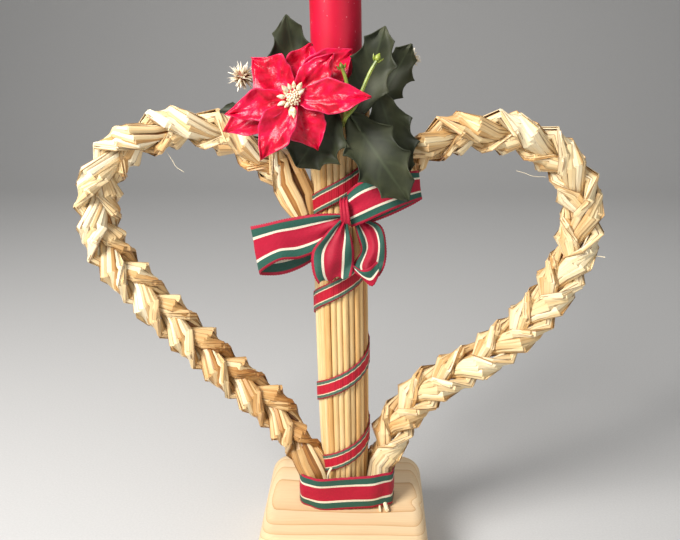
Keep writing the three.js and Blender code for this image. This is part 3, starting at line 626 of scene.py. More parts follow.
def ribbon_material(name, stripes, rib, depth):
    """Woven polyester ribbon: mirrored stripes, and ribs across it where the weft is thicker."""
    ribbon = bare_material(name)
    uv = add_node(ribbon, "UVMap", uv_map="UVMap")
    parts = add_node(ribbon, "SeparateXYZ", {0: uv})
    from_middle = add_node(ribbon, "Math", {0: parts, 1: 0.5}, operation="SUBTRACT")
    from_middle = add_node(ribbon, "Math", {0: from_middle}, operation="ABSOLUTE")
    share = add_node(ribbon, "Math", {0: from_middle, 1: 2.0}, operation="MULTIPLY")
    colour = add_node(ribbon, "ValToRGB", {"Fac": share}, stops=stripes)
    colour.color_ramp.interpolation = "CONSTANT"
    wave = add_node(ribbon, "Math", {0: parts.outputs[1], 1: 2 * math.pi / rib}, operation="MULTIPLY")
    wave = add_node(ribbon, "Math", {0: wave}, operation="SINE")
    grain = add_node(ribbon, "VectorMath", {0: uv, 1: (40.0, 1.4, 1.0)}, operation="MULTIPLY")
    thread = add_node(ribbon, "TexNoise", {"Vector": grain, "Scale": 1.0, "Detail": 2.0})
    shade = add_node(ribbon, "MapRange", {"Value": thread, 1: 0.3, 2: 0.7, 3: 0.82, 4: 1.1})
    ribs = add_node(ribbon, "Math", {0: wave, 1: depth, 2: shade}, operation="MULTIPLY_ADD")
    cloth = add_node(ribbon, "VectorMath", {0: colour, "Scale": ribs}, operation="SCALE")
    relief = add_node(ribbon, "Bump", {"Height": wave, "Distance": 0.0001, "Strength": 0.5})
    surface = add_node(
        ribbon, "BsdfPrincipled",
        {"Base Color": cloth, "Roughness": 0.55, "IOR": 1.4, "Sheen Weight": 0.1,
         "Sheen Roughness": 0.4, "Sheen Tint": linear("#ff9cc0"), "Normal": relief},
    )
    add_node(ribbon, "OutputMaterial", {"Surface": surface})
    return ribbon


def give_thickness(piece, thickness):
    """Closes an open sheet to a thin wall."""
    wall = piece.modifiers.new("cloth thickness", "SOLIDIFY")
    wall.thickness = thickness * MM
    wall.offset = 0


def foot_strip():
    """A flattened ring: each half is a power curve of the cosine and sine. Its width leans and
    buckles with the turn."""
    turn = np.linspace(-1.5 * math.pi, 0.5 * math.pi, 241)
    circle = np.stack([np.cos(turn), np.sin(turn)])
    squared = np.sign(circle) * np.abs(circle) ** FOOT_SQUARENESS
    swell = 0.35 * np.sin(9 * turn) * np.cos(turn / 2 + 0.4)
    x = FOOT_MIDDLE + (FOOT_HALF[0] - 0.3 + swell) * squared[0]
    y = (FOOT_HALF[1] - 0.3 + swell) * squared[1]
    front = np.clip(-np.sin(turn), 0, 1)
    middle = FOOT_HEIGHT + FOOT_SLANT * x * front - 0.2 * front
    share = np.linspace(-1, 1, 17)
    buckle = 0.55 * np.sin(5 * turn + 1.2)[:, None] * np.cos(math.pi * share) * front[:, None]
    left = (smoothstep(-x, 8, 24) * front)[:, None]
    grow = 1 + buckle / 20 + 0.03 * left * (1 - share**2)
    z = BLOCK_TOP + middle[:, None] + share * (WIDE_WIDTH / 2 - 0.2) * (1 - 0.12 * left)
    points = np.stack([FOOT_MIDDLE + (x[:, None] - FOOT_MIDDLE) * grow, y[:, None] * grow, z], -1)
    ends = np.clip((np.abs(turn + math.pi / 2) - 2.9) / 0.25, 0, 1)[:, None] * (turn > 0)[:, None]
    points[..., 1] += FOOT_OVERLAP * ends
    step = np.linalg.norm(np.diff(points[:, 8], axis=0), axis=1)
    return points, np.concatenate([[0], np.cumsum(step)])


wide_cloth = ribbon_material("woven polyester ribbon, 18.5 mm", STRIPES, 0.55, 0.05)
foot_points, foot_length = foot_strip()
foot = add_piece(
    "ribbon_round_the_foot", [ribbon_shape(foot_points, foot_length)], wide_cloth, closed=False
)
give_thickness(foot, CLOTH_THICK)
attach(foot, "root")
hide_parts("foot_ribbon")

# Narrow ribbon: 9.5 mm grosgrain wound up the bundle from the foot to the bow, rising to the right,
# drawn tight, so that it follows the straws under it.

NARROW_WIDTH = 9.5
NARROW_PROUD, NARROW_DIPS = 0.45, 0.12
SPIRAL_FRONT = [28.7, 69.9, 117.6, 161.9]
SPIRAL_FROM, SPIRAL_TO = -0.5, 3.22


def spiral_strip():
    """A helix round the bundle at its radius: the height at each turn's front is given, and a smooth
    line joins them."""
    first, second, third, fourth = SPIRAL_FRONT
    heights = [2 * first - second] + SPIRAL_FRONT + [2 * fourth - third]
    turn = np.linspace(SPIRAL_FROM, SPIRAL_TO, 621)
    points, _ = smooth_line(list(zip(range(-1, 5), heights)))
    middle = np.interp(turn, points[:, 0], points[:, 1])
    share = np.linspace(-0.5, 0.5, 13)
    height = middle[:, None] + share * NARROW_WIDTH
    angle = 2 * math.pi * turn[:, None] - math.pi / 2
    reach = np.interp(height, BUNDLE_HEIGHTS, BUNDLE_RADII) + NARROW_PROUD
    reach = reach + NARROW_DIPS * np.cos(OUTER_STRAWS * angle - math.pi)
    points = leaned(np.stack([reach * np.cos(angle), reach * np.sin(angle), height], -1))
    step = np.linalg.norm(np.diff(points[:, 6], axis=0), axis=1)
    return points, np.concatenate([[0], np.cumsum(step)])


narrow_cloth = ribbon_material("grosgrain ribbon, 9.5 mm", NARROW_STRIPES, 0.9, 0.1)
spiral_points, spiral_length = spiral_strip()
spiral = add_piece(
    "ribbon_up_the_bundle", [ribbon_shape(spiral_points, spiral_length)], narrow_cloth, closed=False
)
give_thickness(spiral, CLOTH_THICK)
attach(spiral, "root")
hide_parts("narrow_ribbon_spiral")

# Bow: the same wide ribbon in a loop to each side and two tails, drawn together by a fold of itself
# in the middle. Each part is given by the lines that its two edges follow.

LEFT_LOOP = (
    [(-1, -18.5, 153.5), (-11.4, -20, 153.7), (-23.4, -21.5, 152.2), (-34, -21.4, 149.6),
     (-41, -19, 147.5), (-38, -16.4, 147.6), (-25, -15.6, 148.2), (-12, -15.4, 149.5), (-1, -15.8, 151.5)],
    [(-1, -19, 147.5), (-8, -21, 140), (-19.2, -21, 134.2), (-28, -22.6, 133.6), (-37.5, -19, 126),
     (-34.5, -16.4, 124.6), (-26.3, -15, 125.2), (-14.6, -14.8, 131), (-2, -15.8, 144)],
)
RIGHT_LOOP = (
    [(1, -19.4, 163), (5, -20.8, 167), (9.6, -21.2, 169.5), (20, -20.6, 172), (31.1, -18, 172.3),
     (29, -15.6, 171.4), (18, -15.2, 168), (8, -15.2, 163), (3, -15.5, 158)],
    [(3, -19.6, 148), (9, -21, 150.7), (17.4, -21.4, 154.9), (26, -20.2, 158.4), (33.2, -18, 160.5),
     (30, -15.4, 157.6), (20, -15, 152.3), (11, -15, 148.7), (5, -15.5, 146.5)],
)
LEFT_TAIL = (
    [(-1.5, -20.4, 152), (-8.5, -22.4, 145), (-13.9, -22.2, 136.9), (-13.5, -21, 127.3),
     (-10.6, -20.4, 121.5)],
    [(1, -20.4, 149), (3.2, -22.2, 143.5), (4.2, -20.4, 137), (4.2, -20.4, 131.5), (2.5, -20.8, 124.5)],
)
RIGHT_TAIL = (
    [(4, -17.6, 150), (5.6, -18, 144), (7.2, -18.6, 137), (3.6, -18.6, 129), (8.5, -22, 124.8)],
    [(8, -16.8, 151), (15.7, -17, 148), (18.2, -17.8, 139), (17.8, -19, 131), (14.6, -22, 125)],
)
TAIL_CURL = (
    [(3.8, -21.2, 131.0), (7.3, -22.6, 129.4), (10.8, -23, 130.4), (14.6, -21.6, 133.0)],
    [(5.2, -21.6, 129.4), (7.8, -22.8, 126), (12.2, -23.2, 122.4), (15.4, -21.8, 127.6)],
)
BOW_FOLD = (
    [(-1.8, -15, 159.5), (-2.0, -20.6, 159), (-1.6, -22.4, 155), (-1.2, -21, 150.4), (-0.8, -15.4, 149)],
    [(1.6, -15, 160), (1.4, -20.8, 159.5), (2.2, -22.6, 154.4), (2.6, -21, 149.4), (2.8, -15.4, 148)],
)
BOW_ROW = 0.6
BOW_FOLDS = 2.5


def bow_strip(edges, folds, wave, drawn_in, ragged=0.0):
    """Points between the two edge lines, with lengthwise folds that are deepest at the knot, where
    share is 0, and at the far end if it is drawn in too, and a slow wave. A cut end is ragged by that
    share of the length."""
    lines = [smooth_line(edge) for edge in edges]
    length = (lines[0][1][-1] + lines[1][1][-1]) / 2
    share = np.linspace(0, 1, int(length / BOW_ROW) // 2 * 2 + 1)
    across = np.linspace(0, 1, 17)[:, None]
    kept = share[:, None] * (1 - ragged * np.abs(np.sin(2.3 * math.pi * across[:, 0] + 0.5)))
    first, second = (on_line(line, kept * line[1][-1]) for line in lines)
    points = first * (1 - across) + second * across
    front = unit(np.cross(np.gradient(points, axis=0), np.gradient(points, axis=1)))
    reach = 0.14 if drawn_in else 0.4
    near = np.exp(-share / reach)[:, None] + drawn_in * np.exp(-(1 - share) / reach)[:, None]
    lift = folds * near * np.sin(2 * math.pi * BOW_FOLDS * across[:, 0])
    slow = np.sin(2 * math.pi * (1.3 * share[:, None] + 0.8 * across[:, 0]))
    lift = lift + wave * slow * share[:, None]
    return points + front * lift[..., None] + ON_BLOCK, share * length


# Edges, depth of the folds, height of the wave, 1 where the far end is drawn in too, and raggedness.
strips = [
    bow_strip(LEFT_LOOP, 1.0, 0.5, 1),
    bow_strip(RIGHT_LOOP, 0.5, 0.4, 1),
    bow_strip(LEFT_TAIL, 1.3, 1.3, 0, 0.07),
    bow_strip(RIGHT_TAIL, 1.3, 1.0, 0, 0.05),
    bow_strip(TAIL_CURL, 0.3, 0.3, 0),
    bow_strip(BOW_FOLD, 0.5, 0.0, 0),
]
shown = [(0.0, 1.0)] * 4 + [(0.0, 0.42), (0.36, 0.64)]
shapes = [ribbon_shape(*strip, part) for strip, part in zip(strips, shown)]
bow = add_piece("bow", shapes, wide_cloth, closed=False)
give_thickness(bow, CLOTH_THICK)
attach(bow, "root")
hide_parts("ribbon_bow")

# Candle: a dipped household taper of 22 mm, dark red, new, in the seat that the outer straws leave,
# and its wick of plaited cotton, waxed by the dipping.

CANDLE_FOOT = 185.8
CANDLE_RADIUS = 11.0
CANDLE_LENGTH = 150.0
SHOULDER_WIDE, SHOULDER_HIGH = 6.4, 4.6
CANDLE_CONE = 1.6


def candle_surface():
    """The profile goes out over the foot, up the side and in over a rounded shoulder and a small
    cone, and is turned about the middle; dipping leaves it a hair uneven."""
    shoulder = np.linspace(0, math.pi / 2, 8)[1:]
    profile = [(0.3, 0.0), (CANDLE_RADIUS - 0.6, 0.0), (CANDLE_RADIUS, 0.7)]
    profile += [(CANDLE_RADIUS, z) for z in np.linspace(4, CANDLE_LENGTH - 6.4, 36)]
    inner, start = CANDLE_RADIUS - SHOULDER_WIDE, CANDLE_LENGTH - CANDLE_CONE - SHOULDER_HIGH
    profile += [
        (inner + SHOULDER_WIDE * math.cos(a), start + SHOULDER_HIGH * math.sin(a)) for a in shoulder
    ]
    profile += [(2.2, CANDLE_LENGTH - 0.5), (1.0, CANDLE_LENGTH), (0.3, CANDLE_LENGTH - 0.1)]
    radius, height = np.array(profile).T[:, :, None]
    turn = np.linspace(0, 2 * math.pi, 65)[:-1]
    uneven = 0.07 * np.sin(3 * turn + height / 30) + 0.06 * np.sin(2 * turn - height / 47)
    radius = radius + uneven * (radius > 10)
    x, y = radius * np.cos(turn), radius * np.sin(turn)
    return leaned(np.stack([x, y, CANDLE_FOOT + height + 0 * x], -1))[None]


def wick_surface():
    """A thin tube along a bent line, its section lobed and turning as a plaited cord's does."""
    line = smooth_line([(0, 0, 149), (0.1, 0, 153), (0.6, 0.1, 157), (1.6, 0.2, 161)])
    distance = np.linspace(0, line[1][-1], 40)[:, None]
    around = np.linspace(0, 2 * math.pi, 13)[:-1]
    radius = 0.75 + 0.12 * np.cos(3 * around + 2.2 * distance)
    middle = on_line(line, distance[:, 0])[:, None]
    round_it = np.stack([radius * np.cos(around), radius * np.sin(around), 0 * radius], -1)
    return leaned(middle + round_it + [0, 0, CANDLE_FOOT])[None]


wax = bare_material("dyed paraffin wax, dipped")
# Dyed paraffin: deep red that light enters a little way, a soft gloss, and slow unevenness.
place = add_node(wax, "TexCoord").outputs["Object"]
cloud = add_node(wax, "TexNoise", {"Vector": place, "Scale": 60.0, "Detail": 3.0})
colour = add_node(wax, "ValToRGB", {"Fac": cloud}, stops=[(0.3, "#b30826"), (0.7, "#c50d33")])
speck = add_node(wax, "TexNoise", {"Vector": place, "Scale": 900.0, "Detail": 1.0})
speck = add_node(wax, "MapRange", {"Value": speck, 1: 0.74, 2: 0.78, 3: 0.0, 4: 0.6})
colour = add_node(wax, "Mix", {0: speck, 6: colour, 7: linear("#f2b0bc")}, data_type="RGBA")
relief = add_node(wax, "Bump", {"Height": cloud, "Distance": 0.0006, "Strength": 0.4})
surface = add_node(
    wax, "BsdfPrincipled",
    {"Base Color": colour.outputs[2], "Roughness": 0.42, "IOR": 1.42, "Subsurface Weight": 0.25,
     "Subsurface Scale": 0.002, "Normal": relief},
)
add_node(wax, "OutputMaterial", {"Surface": surface})

cotton = bare_material("waxed cotton wick")
# Plaited cotton soaked in wax: off-white, with short slanting threads 0.5 mm wide.
place = add_node(cotton, "TexCoord").outputs["Object"]
threads = add_node(
    cotton, "TexWave", {"Vector": place, "Scale": 500.0, "Distortion": 2.0}, bands_direction="DIAGONAL"
)
colour = add_node(
    cotton, "ValToRGB", {"Fac": threads.outputs["Fac"]}, stops=[(0.0, "#c9b9a0"), (1.0, "#efe6d4")]
)
surface = add_node(cotton, "BsdfPrincipled", {"Base Color": colour, "Roughness": 0.6})
add_node(cotton, "OutputMaterial", {"Surface": surface})

candle = add_piece("taper_candle", [grid_shape(candle_surface(), closed=True)], wax)
wick = add_piece("candle_wick_cord", [grid_shape(wick_surface(), closed=True)], cotton)
for piece, node, slot in ((candle, "candle", "candle_wax"), (wick, "candle_wick", "wick_cotton")):
    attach(piece, "root")
    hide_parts(node)

# Holly leaves: seven leaves stamped out of stiffened artificial silk, pressed with a midrib and side
# veins, each on a thin wire that is pushed down between the straws.

# Wire's place at the bundle's rim, root and tip of the leaf, half width, where its front faces, and
# how far its spines curl.
LEAVES = {
    "rear_left": [(-18.9, -3, 188), (-20, -3.4, 198), (-25.2, -1.5, 235.2), 11.5, (0, -1, 0.1), 1.5],
    "right": [(4.6, -13.6, 190), (5, -15.2, 195), (16.2, -10, 230.6), 11, (0, -1, 0), 1.6],
    "rear_right": [(11.6, 0.8, 189), (13, 0.6, 197), (28, 0.5, 223.5), 9.5, (0, -1, 0.2), 1.5],
    "lower_right": [(10.2, -7.6, 192), (14, -9.6, 204), (26.5, -9.6, 168), 11.5, (0, -1, 0), 2.0],
    "front": [(2.6, -14.9, 187), (1.5, -18.2, 196.5), (27.2, -24.5, 160.6), 13.6, (0, -1, 0.15), 1.6],
    "under_flower": [(-9, -14.4, 185), (-3.8, -17.6, 197.5), (-20.2, -19, 174), 15.5, (0, -1, 0), 1.5],
    "far_left": [(-17, -9.8, 189), (-26, -13.2, 198), (-53.6, -10, 195.5), 6.6, (0, -0.8, 1), 1.0],
}
LEAF_STATIONS = [0, 0.1, 0.25, 0.42, 0.6, 0.76, 0.9, 1]
LEAF_WIDTHS = [0.1, 0.55, 0.9, 1.0, 0.93, 0.7, 0.36, 0.02]
LEAF_VEINS, LEAF_SLANT = 3.7, 0.22
SILK_THICK = 0.35
WIRE_RADIUS = 0.55


def blade(root, tip, facing, width, lift, rows, columns):
    """A leaf or petal: t from 0 at the root to 1 at the tip, c from -1 to 1 across. A point is root +
    t along + c width(t, c) to the side + lift(t, c) to the front; facing says where the front is. Its
    uv is c and the share of the rows."""
    root, tip = np.array(root, float), np.array(tip, float)
    along = tip - root
    side = unit(np.cross(facing, along))
    front = unit(np.cross(along, side))
    t = np.linspace(0, 1, rows)[:, None]
    c = np.linspace(-1, 1, columns)
    uv = np.stack(np.broadcast_arrays(c, np.arange(rows)[:, None] / rows), -1)
    t, c = np.broadcast_arrays(t, c)
    swept, spread = width(t, c)
    points = root + along * swept[..., None] + side * spread[..., None] + front * lift(t, c)[..., None]
    return grid_shape((points + ON_BLOCK)[None], uv[None])


def holly_leaf(rim, root, tip, half_width, facing, curl, seed):
    """The half width rises and falls along the leaf and is drawn in between the spines, four a side;
    it is folded along its midrib, its side veins are pressed in and its spines curl."""
    chance = np.random.default_rng(seed)
    phase, skew = chance.uniform(0, 6), chance.uniform(-0.05, 0.05)
    slow = chance.uniform(0, 6, 3)

    def width(t, c):
        shifted = t + skew * c
        body = np.interp(t, LEAF_STATIONS, LEAF_WIDTHS)
        notch = 1 - 0.34 * np.abs(np.sin(LEAF_VEINS * math.pi * np.clip(shifted, 0, 1))) ** 0.65
        spread = c * half_width * body * (1 - np.abs(c) ** 2 * (1 - notch))
        swept = t + 0.06 * np.abs(c) ** 3 * np.sin(math.pi * t)
        return swept, spread + 0.15 * c

    def lift(t, c):
        fold = 0.28 * half_width * np.abs(c) ** 1.3 * np.sin(math.pi * np.clip(t, 0.05, 1)) ** 0.5
        veins = -0.3 * np.abs(np.sin(LEAF_VEINS * math.pi * (t - LEAF_SLANT * np.abs(c)))) ** 3
        veins = veins * np.abs(c) * (1 - 0.4 * np.abs(c))
        spines = curl * np.abs(c) ** 4 * np.cos(2 * LEAF_VEINS * math.pi * t + phase)
        bend = -0.1 * half_width * np.sin(2 * math.pi * t + phase)
        rumple = 0.5 * np.sin(9 * t + 3 * c + slow[0]) + 0.4 * np.sin(4 * t - 5 * c + slow[1])
        return fold + veins + spines * 0.6 + bend + rumple + 0.25 * np.exp(-((c / 0.09) ** 2))

    rim, root, tip = (np.array(place, float) for place in (rim, root, tip))
    bend = (rim + root) / 2 + [0, -0.4, 0]
    stalk = wire([rim, bend, root, 0.8 * root + 0.2 * tip], WIRE_RADIUS)
    return blade(root, tip, facing, width, lift, 57, 23), stalk


silk_leaf = bare_material("stiffened artificial silk, holly green")
# Stiffened artificial silk: dull grey-green printed cloth with a paler midrib and side veins, partly
# the print and partly a painted highlight along their pressed folds, and a faint weave 0.5 mm apart.
uv = add_node(silk_leaf, "UVMap", uv_map="UVMap")
parts = add_node(silk_leaf, "SeparateXYZ", {0: uv})
out_from_rib = add_node(silk_leaf, "Math", {0: parts}, operation="ABSOLUTE")
rib = add_node(silk_leaf, "MapRange", {"Value": out_from_rib, 1: 0.0, 2: 0.08, 3: 0.4, 4: 0.0})
slant = add_node(
    silk_leaf, "Math", {0: out_from_rib, 1: -LEAF_SLANT, 2: parts.outputs[1]}, operation="MULTIPLY_ADD"
)
slant = add_node(silk_leaf, "Math", {0: slant, 1: LEAF_VEINS * math.pi}, operation="MULTIPLY")
slant = add_node(silk_leaf, "Math", {0: slant}, operation="COSINE")
vein = add_node(silk_leaf, "Math", {0: slant}, operation="ABSOLUTE")
vein = add_node(silk_leaf, "MapRange", {"Value": vein, 1: 0.94, 2: 1.0, 3: 0.0, 4: 0.14})
# The paler midrib and veins are partly the print and partly a painted highlight along the pressed folds.
lines = add_node(silk_leaf, "Math", {0: rib, 1: vein}, operation="MAXIMUM")
place = add_node(silk_leaf, "TexCoord").outputs["Object"]
blotch = add_node(silk_leaf, "TexNoise", {"Vector": place, "Scale": 90.0, "Detail": 4.0})
mottle = add_node(
    silk_leaf, "ValToRGB", {"Fac": blotch},
    stops=[(0.3, "#23271a"), (0.5, "#313521"), (0.72, "#41432c")],
)
green = add_node(silk_leaf, "Mix", {0: lines, 6: mottle, 7: linear("#4c553b")}, data_type="RGBA")
weave = add_node(silk_leaf, "TexNoise", {"Vector": place, "Scale": 1800.0, "Detail": 1.0})
relief = add_node(silk_leaf, "Bump", {"Height": weave, "Distance": 0.0001, "Strength": 0.4})
surface = add_node(
    silk_leaf, "BsdfPrincipled",
    {"Base Color": green.outputs[2], "Roughness": 0.58, "IOR": 1.38, "Sheen Weight": 0.06,
     "Sheen Roughness": 0.4, "Normal": relief},
)
add_node(silk_leaf, "OutputMaterial", {"Surface": surface})

for seed, (name, (rim, root, tip, half_width, facing, curl)) in enumerate(LEAVES.items()):
    sheet, stalk = holly_leaf(rim, root, tip, half_width, facing, curl, 40 + seed)
    leaf = add_piece(f"holly_{name}", [sheet], silk_leaf, closed=False)
    give_thickness(leaf, SILK_THICK)
    stalk = add_piece(f"holly_{name}_wire", [stalk], silk_leaf)
    for piece in (leaf, stalk):
        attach(piece, "root")
        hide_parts(f"holly_leaf_{name}")

# Poinsettia: petals stamped in two layers out of red artificial silk and pressed with veins, the
# front layer smaller, around a middle of cream pods and grains on a short stem.

FLOWER_HEART = (-20.3, -24.5, 203.3)
# Tip of each petal, its half width and how far it arches.
BACK_PETALS = [
    ((-38.1, -20, 218.5), 8.5, 1.5), ((-14, -16.5, 224), 7.5, 1), ((3, -15.8, 221.5), 8, 1),
    ((-10.8, -25, 181.6), 8, 2.5), ((-50.5, -20, 188.6), 7, 2),
]
FRONT_PETALS = [
    ((-4, -24.5, 220.5), 5.5, -0.5), ((10.3, -29, 204), 6.4, 1), ((-34, -30, 178.6), 7, 2),
    ((-48, -26, 196.7), 6, 1),
]
PETAL_FACING = (0, -1, 0.15)
PODS, GRAINS = 11, 34
GOLDEN_ANGLE = math.pi * (3 - math.sqrt(5))
PETAL_STATIONS = [0, 0.08, 0.2, 0.34, 0.48, 0.6, 0.72, 0.84, 0.93, 1]
PETAL_WIDTHS = [0.22, 0.4, 0.7, 0.95, 1.06, 1.0, 0.78, 0.44, 0.19, 0.01]
PETAL_VEINS, PETAL_SLANT = 6.5, 0.2
BACK_LAYER, FRONT_LAYER = 2.0, -0.6


def petal(tip, half_width, arch, behind, seed):
    """An oval drawn out to a point, cupped along its midrib, with pressed side veins and an edge that
    waves and is pinched at its tip."""
    chance = np.random.default_rng(seed)
    phase, waves = chance.uniform(0, 6, 5), chance.uniform(1.5, 2.6)
    crease, slope = chance.uniform(0.3, 0.6) * chance.choice([-1, 1]), chance.uniform(-0.4, 0.4)

    def width(t, c):
        body = np.interp(t, PETAL_STATIONS, PETAL_WIDTHS)
        ragged = 1 + 0.06 * np.sin(11 * t + phase[0] + c) + 0.04 * np.sin(23 * t + phase[1])
        return t + 0.02 * np.sin(5 * t + phase[1]) * np.abs(c), c * (half_width * body * ragged + 0.08)

    def lift(t, c):
        rise = 4 * arch * t * (1 - t)
        cup = 0.36 * half_width * (np.abs(c) ** 1.2 - 0.3) * np.sin(math.pi * t)
        veins = -0.3 * np.abs(np.sin(PETAL_VEINS * math.pi * (t - PETAL_SLANT * np.abs(c)))) ** 2
        veins = veins * np.abs(c) * (1 - 0.55 * np.abs(c))
        edge = 1.1 * np.abs(c) ** 2 * np.sin(2 * math.pi * waves * t + phase[0] + 1.5 * np.sign(c)) * t
        rumple = 0.45 * np.sin(9 * t + 4 * c + phase[2]) + 0.35 * np.sin(15 * t - 6 * c + phase[3]) * t
        sharp = 0.9 * np.exp(-np.abs(c - crease - slope * (t - 0.5)) / 0.14) * np.sin(math.pi * t)
        return rise + cup + veins + edge + rumple + sharp + 0.35 * np.exp(-((c / 0.1) ** 2))

    back = np.array([0, behind, 0])
    return blade(FLOWER_HEART + back, tip + back, PETAL_FACING, width, lift, 49, 25)


def knob(start, way, length, width, rows=7, columns=8, **values):
    """A rounded pod: a circle's profile stretched along way, slightly fuller towards its end."""
    way = unit(np.asarray(way, float))
    side = unit(np.cross(way, [0.2, 0.5, 0.84]))
    other = np.cross(way, side)
    t = np.linspace(0.03, 0.97, rows)[:, None]
    around = np.linspace(0, 2 * math.pi, columns + 1)[:-1]
    radius = width / 2 * np.sin(math.pi * t ** 0.85)
    ring = side * np.cos(around)[:, None] + other * np.sin(around)[:, None]
    points = start + way * (t * length)[..., None] + ring * radius[..., None]
    return grid_shape(points[None], closed=True, **values)


silk_petal = bare_material("pressed artificial silk, poinsettia red")
# Pressed artificial silk: strong red cloth with a pink sheen along folds, deeper red in the veins.
uv = add_node(silk_petal, "UVMap", uv_map="UVMap")
parts = add_node(silk_petal, "SeparateXYZ", {0: uv})
out_from_rib = add_node(silk_petal, "Math", {0: parts}, operation="ABSOLUTE")
slant = add_node(
    silk_petal, "Math", {0: out_from_rib, 1: -PETAL_SLANT, 2: parts.outputs[1]}, operation="MULTIPLY_ADD"
)
slant = add_node(silk_petal, "Math", {0: slant, 1: PETAL_VEINS * math.pi}, operation="MULTIPLY")
slant = add_node(silk_petal, "Math", {0: slant}, operation="SINE")
vein = add_node(silk_petal, "Math", {0: slant}, operation="ABSOLUTE")
rib = add_node(silk_petal, "MapRange", {"Value": out_from_rib, 1: 0.0, 2: 0.12, 3: 0.0, 4: 1.0})
flat = add_node(silk_petal, "Math", {0: vein, 1: rib}, operation="MULTIPLY")
place = add_node(silk_petal, "TexCoord").outputs["Object"]
blotch = add_node(silk_petal, "TexNoise", {"Vector": place, "Scale": 120.0, "Detail": 3.0})
depth = add_node(silk_petal, "Math", {0: flat, 1: 0.16, 2: blotch}, operation="MULTIPLY_ADD")
colour = add_node(
    silk_petal, "ValToRGB", {"Fac": depth},
    stops=[(0.3, "#9c021c"), (0.5, "#c6022a"), (0.75, "#dc0840")],
)
hem = add_node(silk_petal, "MapRange", {"Value": out_from_rib, 1: 0.9, 2: 1.0, 3: 0.0, 4: 0.4})
colour = add_node(silk_petal, "Mix", {0: hem, 6: colour, 7: linear("#f04a80")}, data_type="RGBA")
crumple = add_node(silk_petal, "TexNoise", {"Vector": place, "Scale": 320.0, "Detail": 5.0})
relief = add_node(silk_petal, "Bump", {"Height": crumple, "Distance": 0.0012, "Strength": 0.55})
surface = add_node(
    silk_petal, "BsdfPrincipled",
    {"Base Color": colour.outputs[2], "Roughness": 0.34, "IOR": 1.4, "Sheen Weight": 0.06,
     "Sheen Roughness": 0.35, "Sheen Tint": linear("#ff6ea0"), "Normal": relief},
)
add_node(silk_petal, "OutputMaterial", {"Surface": surface})

back_petals = add_piece(
    "petals_of_the_back_layer",
    [petal(tip, wide, arch, BACK_LAYER, 60 + i) for i, (tip, wide, arch) in enumerate(BACK_PETALS)],
    silk_petal, closed=False,
)
front_petals = add_piece(
    "petals_of_the_front_layer",
    [petal(tip, wide, arch, FRONT_LAYER, 70 + i) for i, (tip, wide, arch) in enumerate(FRONT_PETALS)],
    silk_petal, closed=False,
)
for piece, node in ((back_petals, "poinsettia_back_petals"), (front_petals, "poinsettia_front_petals")):
    give_thickness(piece, SILK_THICK)
    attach(piece, "root")
    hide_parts(node)

pod_paste = bare_material("moulded flower pods, cream")
# Moulded starch pods: matt cream with a fine grain and reddish-brown in the hollows.
place = add_node(pod_paste, "TexCoord").outputs["Object"]
speck = add_node(pod_paste, "TexNoise", {"Vector": place, "Scale": 700.0, "Detail": 3.0})
colour = add_node(
    pod_paste, "ValToRGB", {"Fac": speck},
    stops=[(0.3, "#b08a5c"), (0.42, "#e2cda4"), (0.6, "#f6ead0")],
)
relief = add_node(pod_paste, "Bump", {"Height": speck, "Distance": 0.0002, "Strength": 0.6})
surface = add_node(
    pod_paste, "BsdfPrincipled",
    {"Base Color": colour, "Roughness": 0.55, "Normal": relief},
)
add_node(pod_paste, "OutputMaterial", {"Surface": surface})


def flower_middle(chance):
    """Pods lie outwards round a small heap of grains; the heap is a spiral of points on a dome."""
    heart = FLOWER_HEART + np.array([0, -1.2, 0]) + ON_BLOCK
    shapes = []
    for i in range(PODS):
        turn = math.radians(35 + 24 * i + chance.uniform(-8, 8))
        lean = chance.uniform(0.3, 1.1)
        way = np.array([math.cos(turn), -lean, math.sin(turn)])
        start = heart + np.array([math.cos(turn), -0.4, math.sin(turn)]) * chance.uniform(1.6, 3.6)
        size = chance.uniform(0.7, 1.25)
        shapes.append(knob(start, way, 4.4 * size, 2.0 * size))
    for i in range(GRAINS):
        share = (i + 0.5) / GRAINS
        turn = i * GOLDEN_ANGLE
        reach = 3.0 * math.sqrt(share)
        spot = heart + [reach * math.cos(turn), -1.2 - 1.6 * (1 - share), reach * math.sin(turn)]
        shapes.append(knob(spot, (0.1, -1, 0.1), 1.3, 1.1, 5, 6))
    stem = tube(heart + np.array([(0.6, 11, -9), (0.3, 6, -4), (0, 1, 0), (0, -0.5, 0)]), 0.8)
    return shapes + [grid_shape(stem, closed=True)]


middle = add_piece("pods_and_grains", flower_middle(np.random.default_rng(80)), pod_paste)
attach(middle, "root")
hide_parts("poinsettia_middle")

# Dried flowers: two dried everlasting heads, papery cream spikes round a reddish middle, each on a
# dry stem that goes down among the leaves.

# Middle of the head, stem's place at the bundle's rim, radius and number of spikes.
DRIED = {
    "left": [(-43.8, -8, 210.2), (-18.8, -5.4, 192), 6.2, 80],
    "right": [(28.0, 5, 217.5), (10.6, 5.4, 191), 4.8, 54],
}
# A spike at shares of its length: thickness in mm and tone.
SPIKE_STATIONS = np.array([0.3, 0.55, 0.8, 1.0])
SPIKE_THICK = np.array([0.5, 0.62, 0.4, 0.06])
SPIKE_TONES = np.array([0.1, 0.35, 0.6, 0.7])
dried_paper = bare_material("dried everlasting, papery")
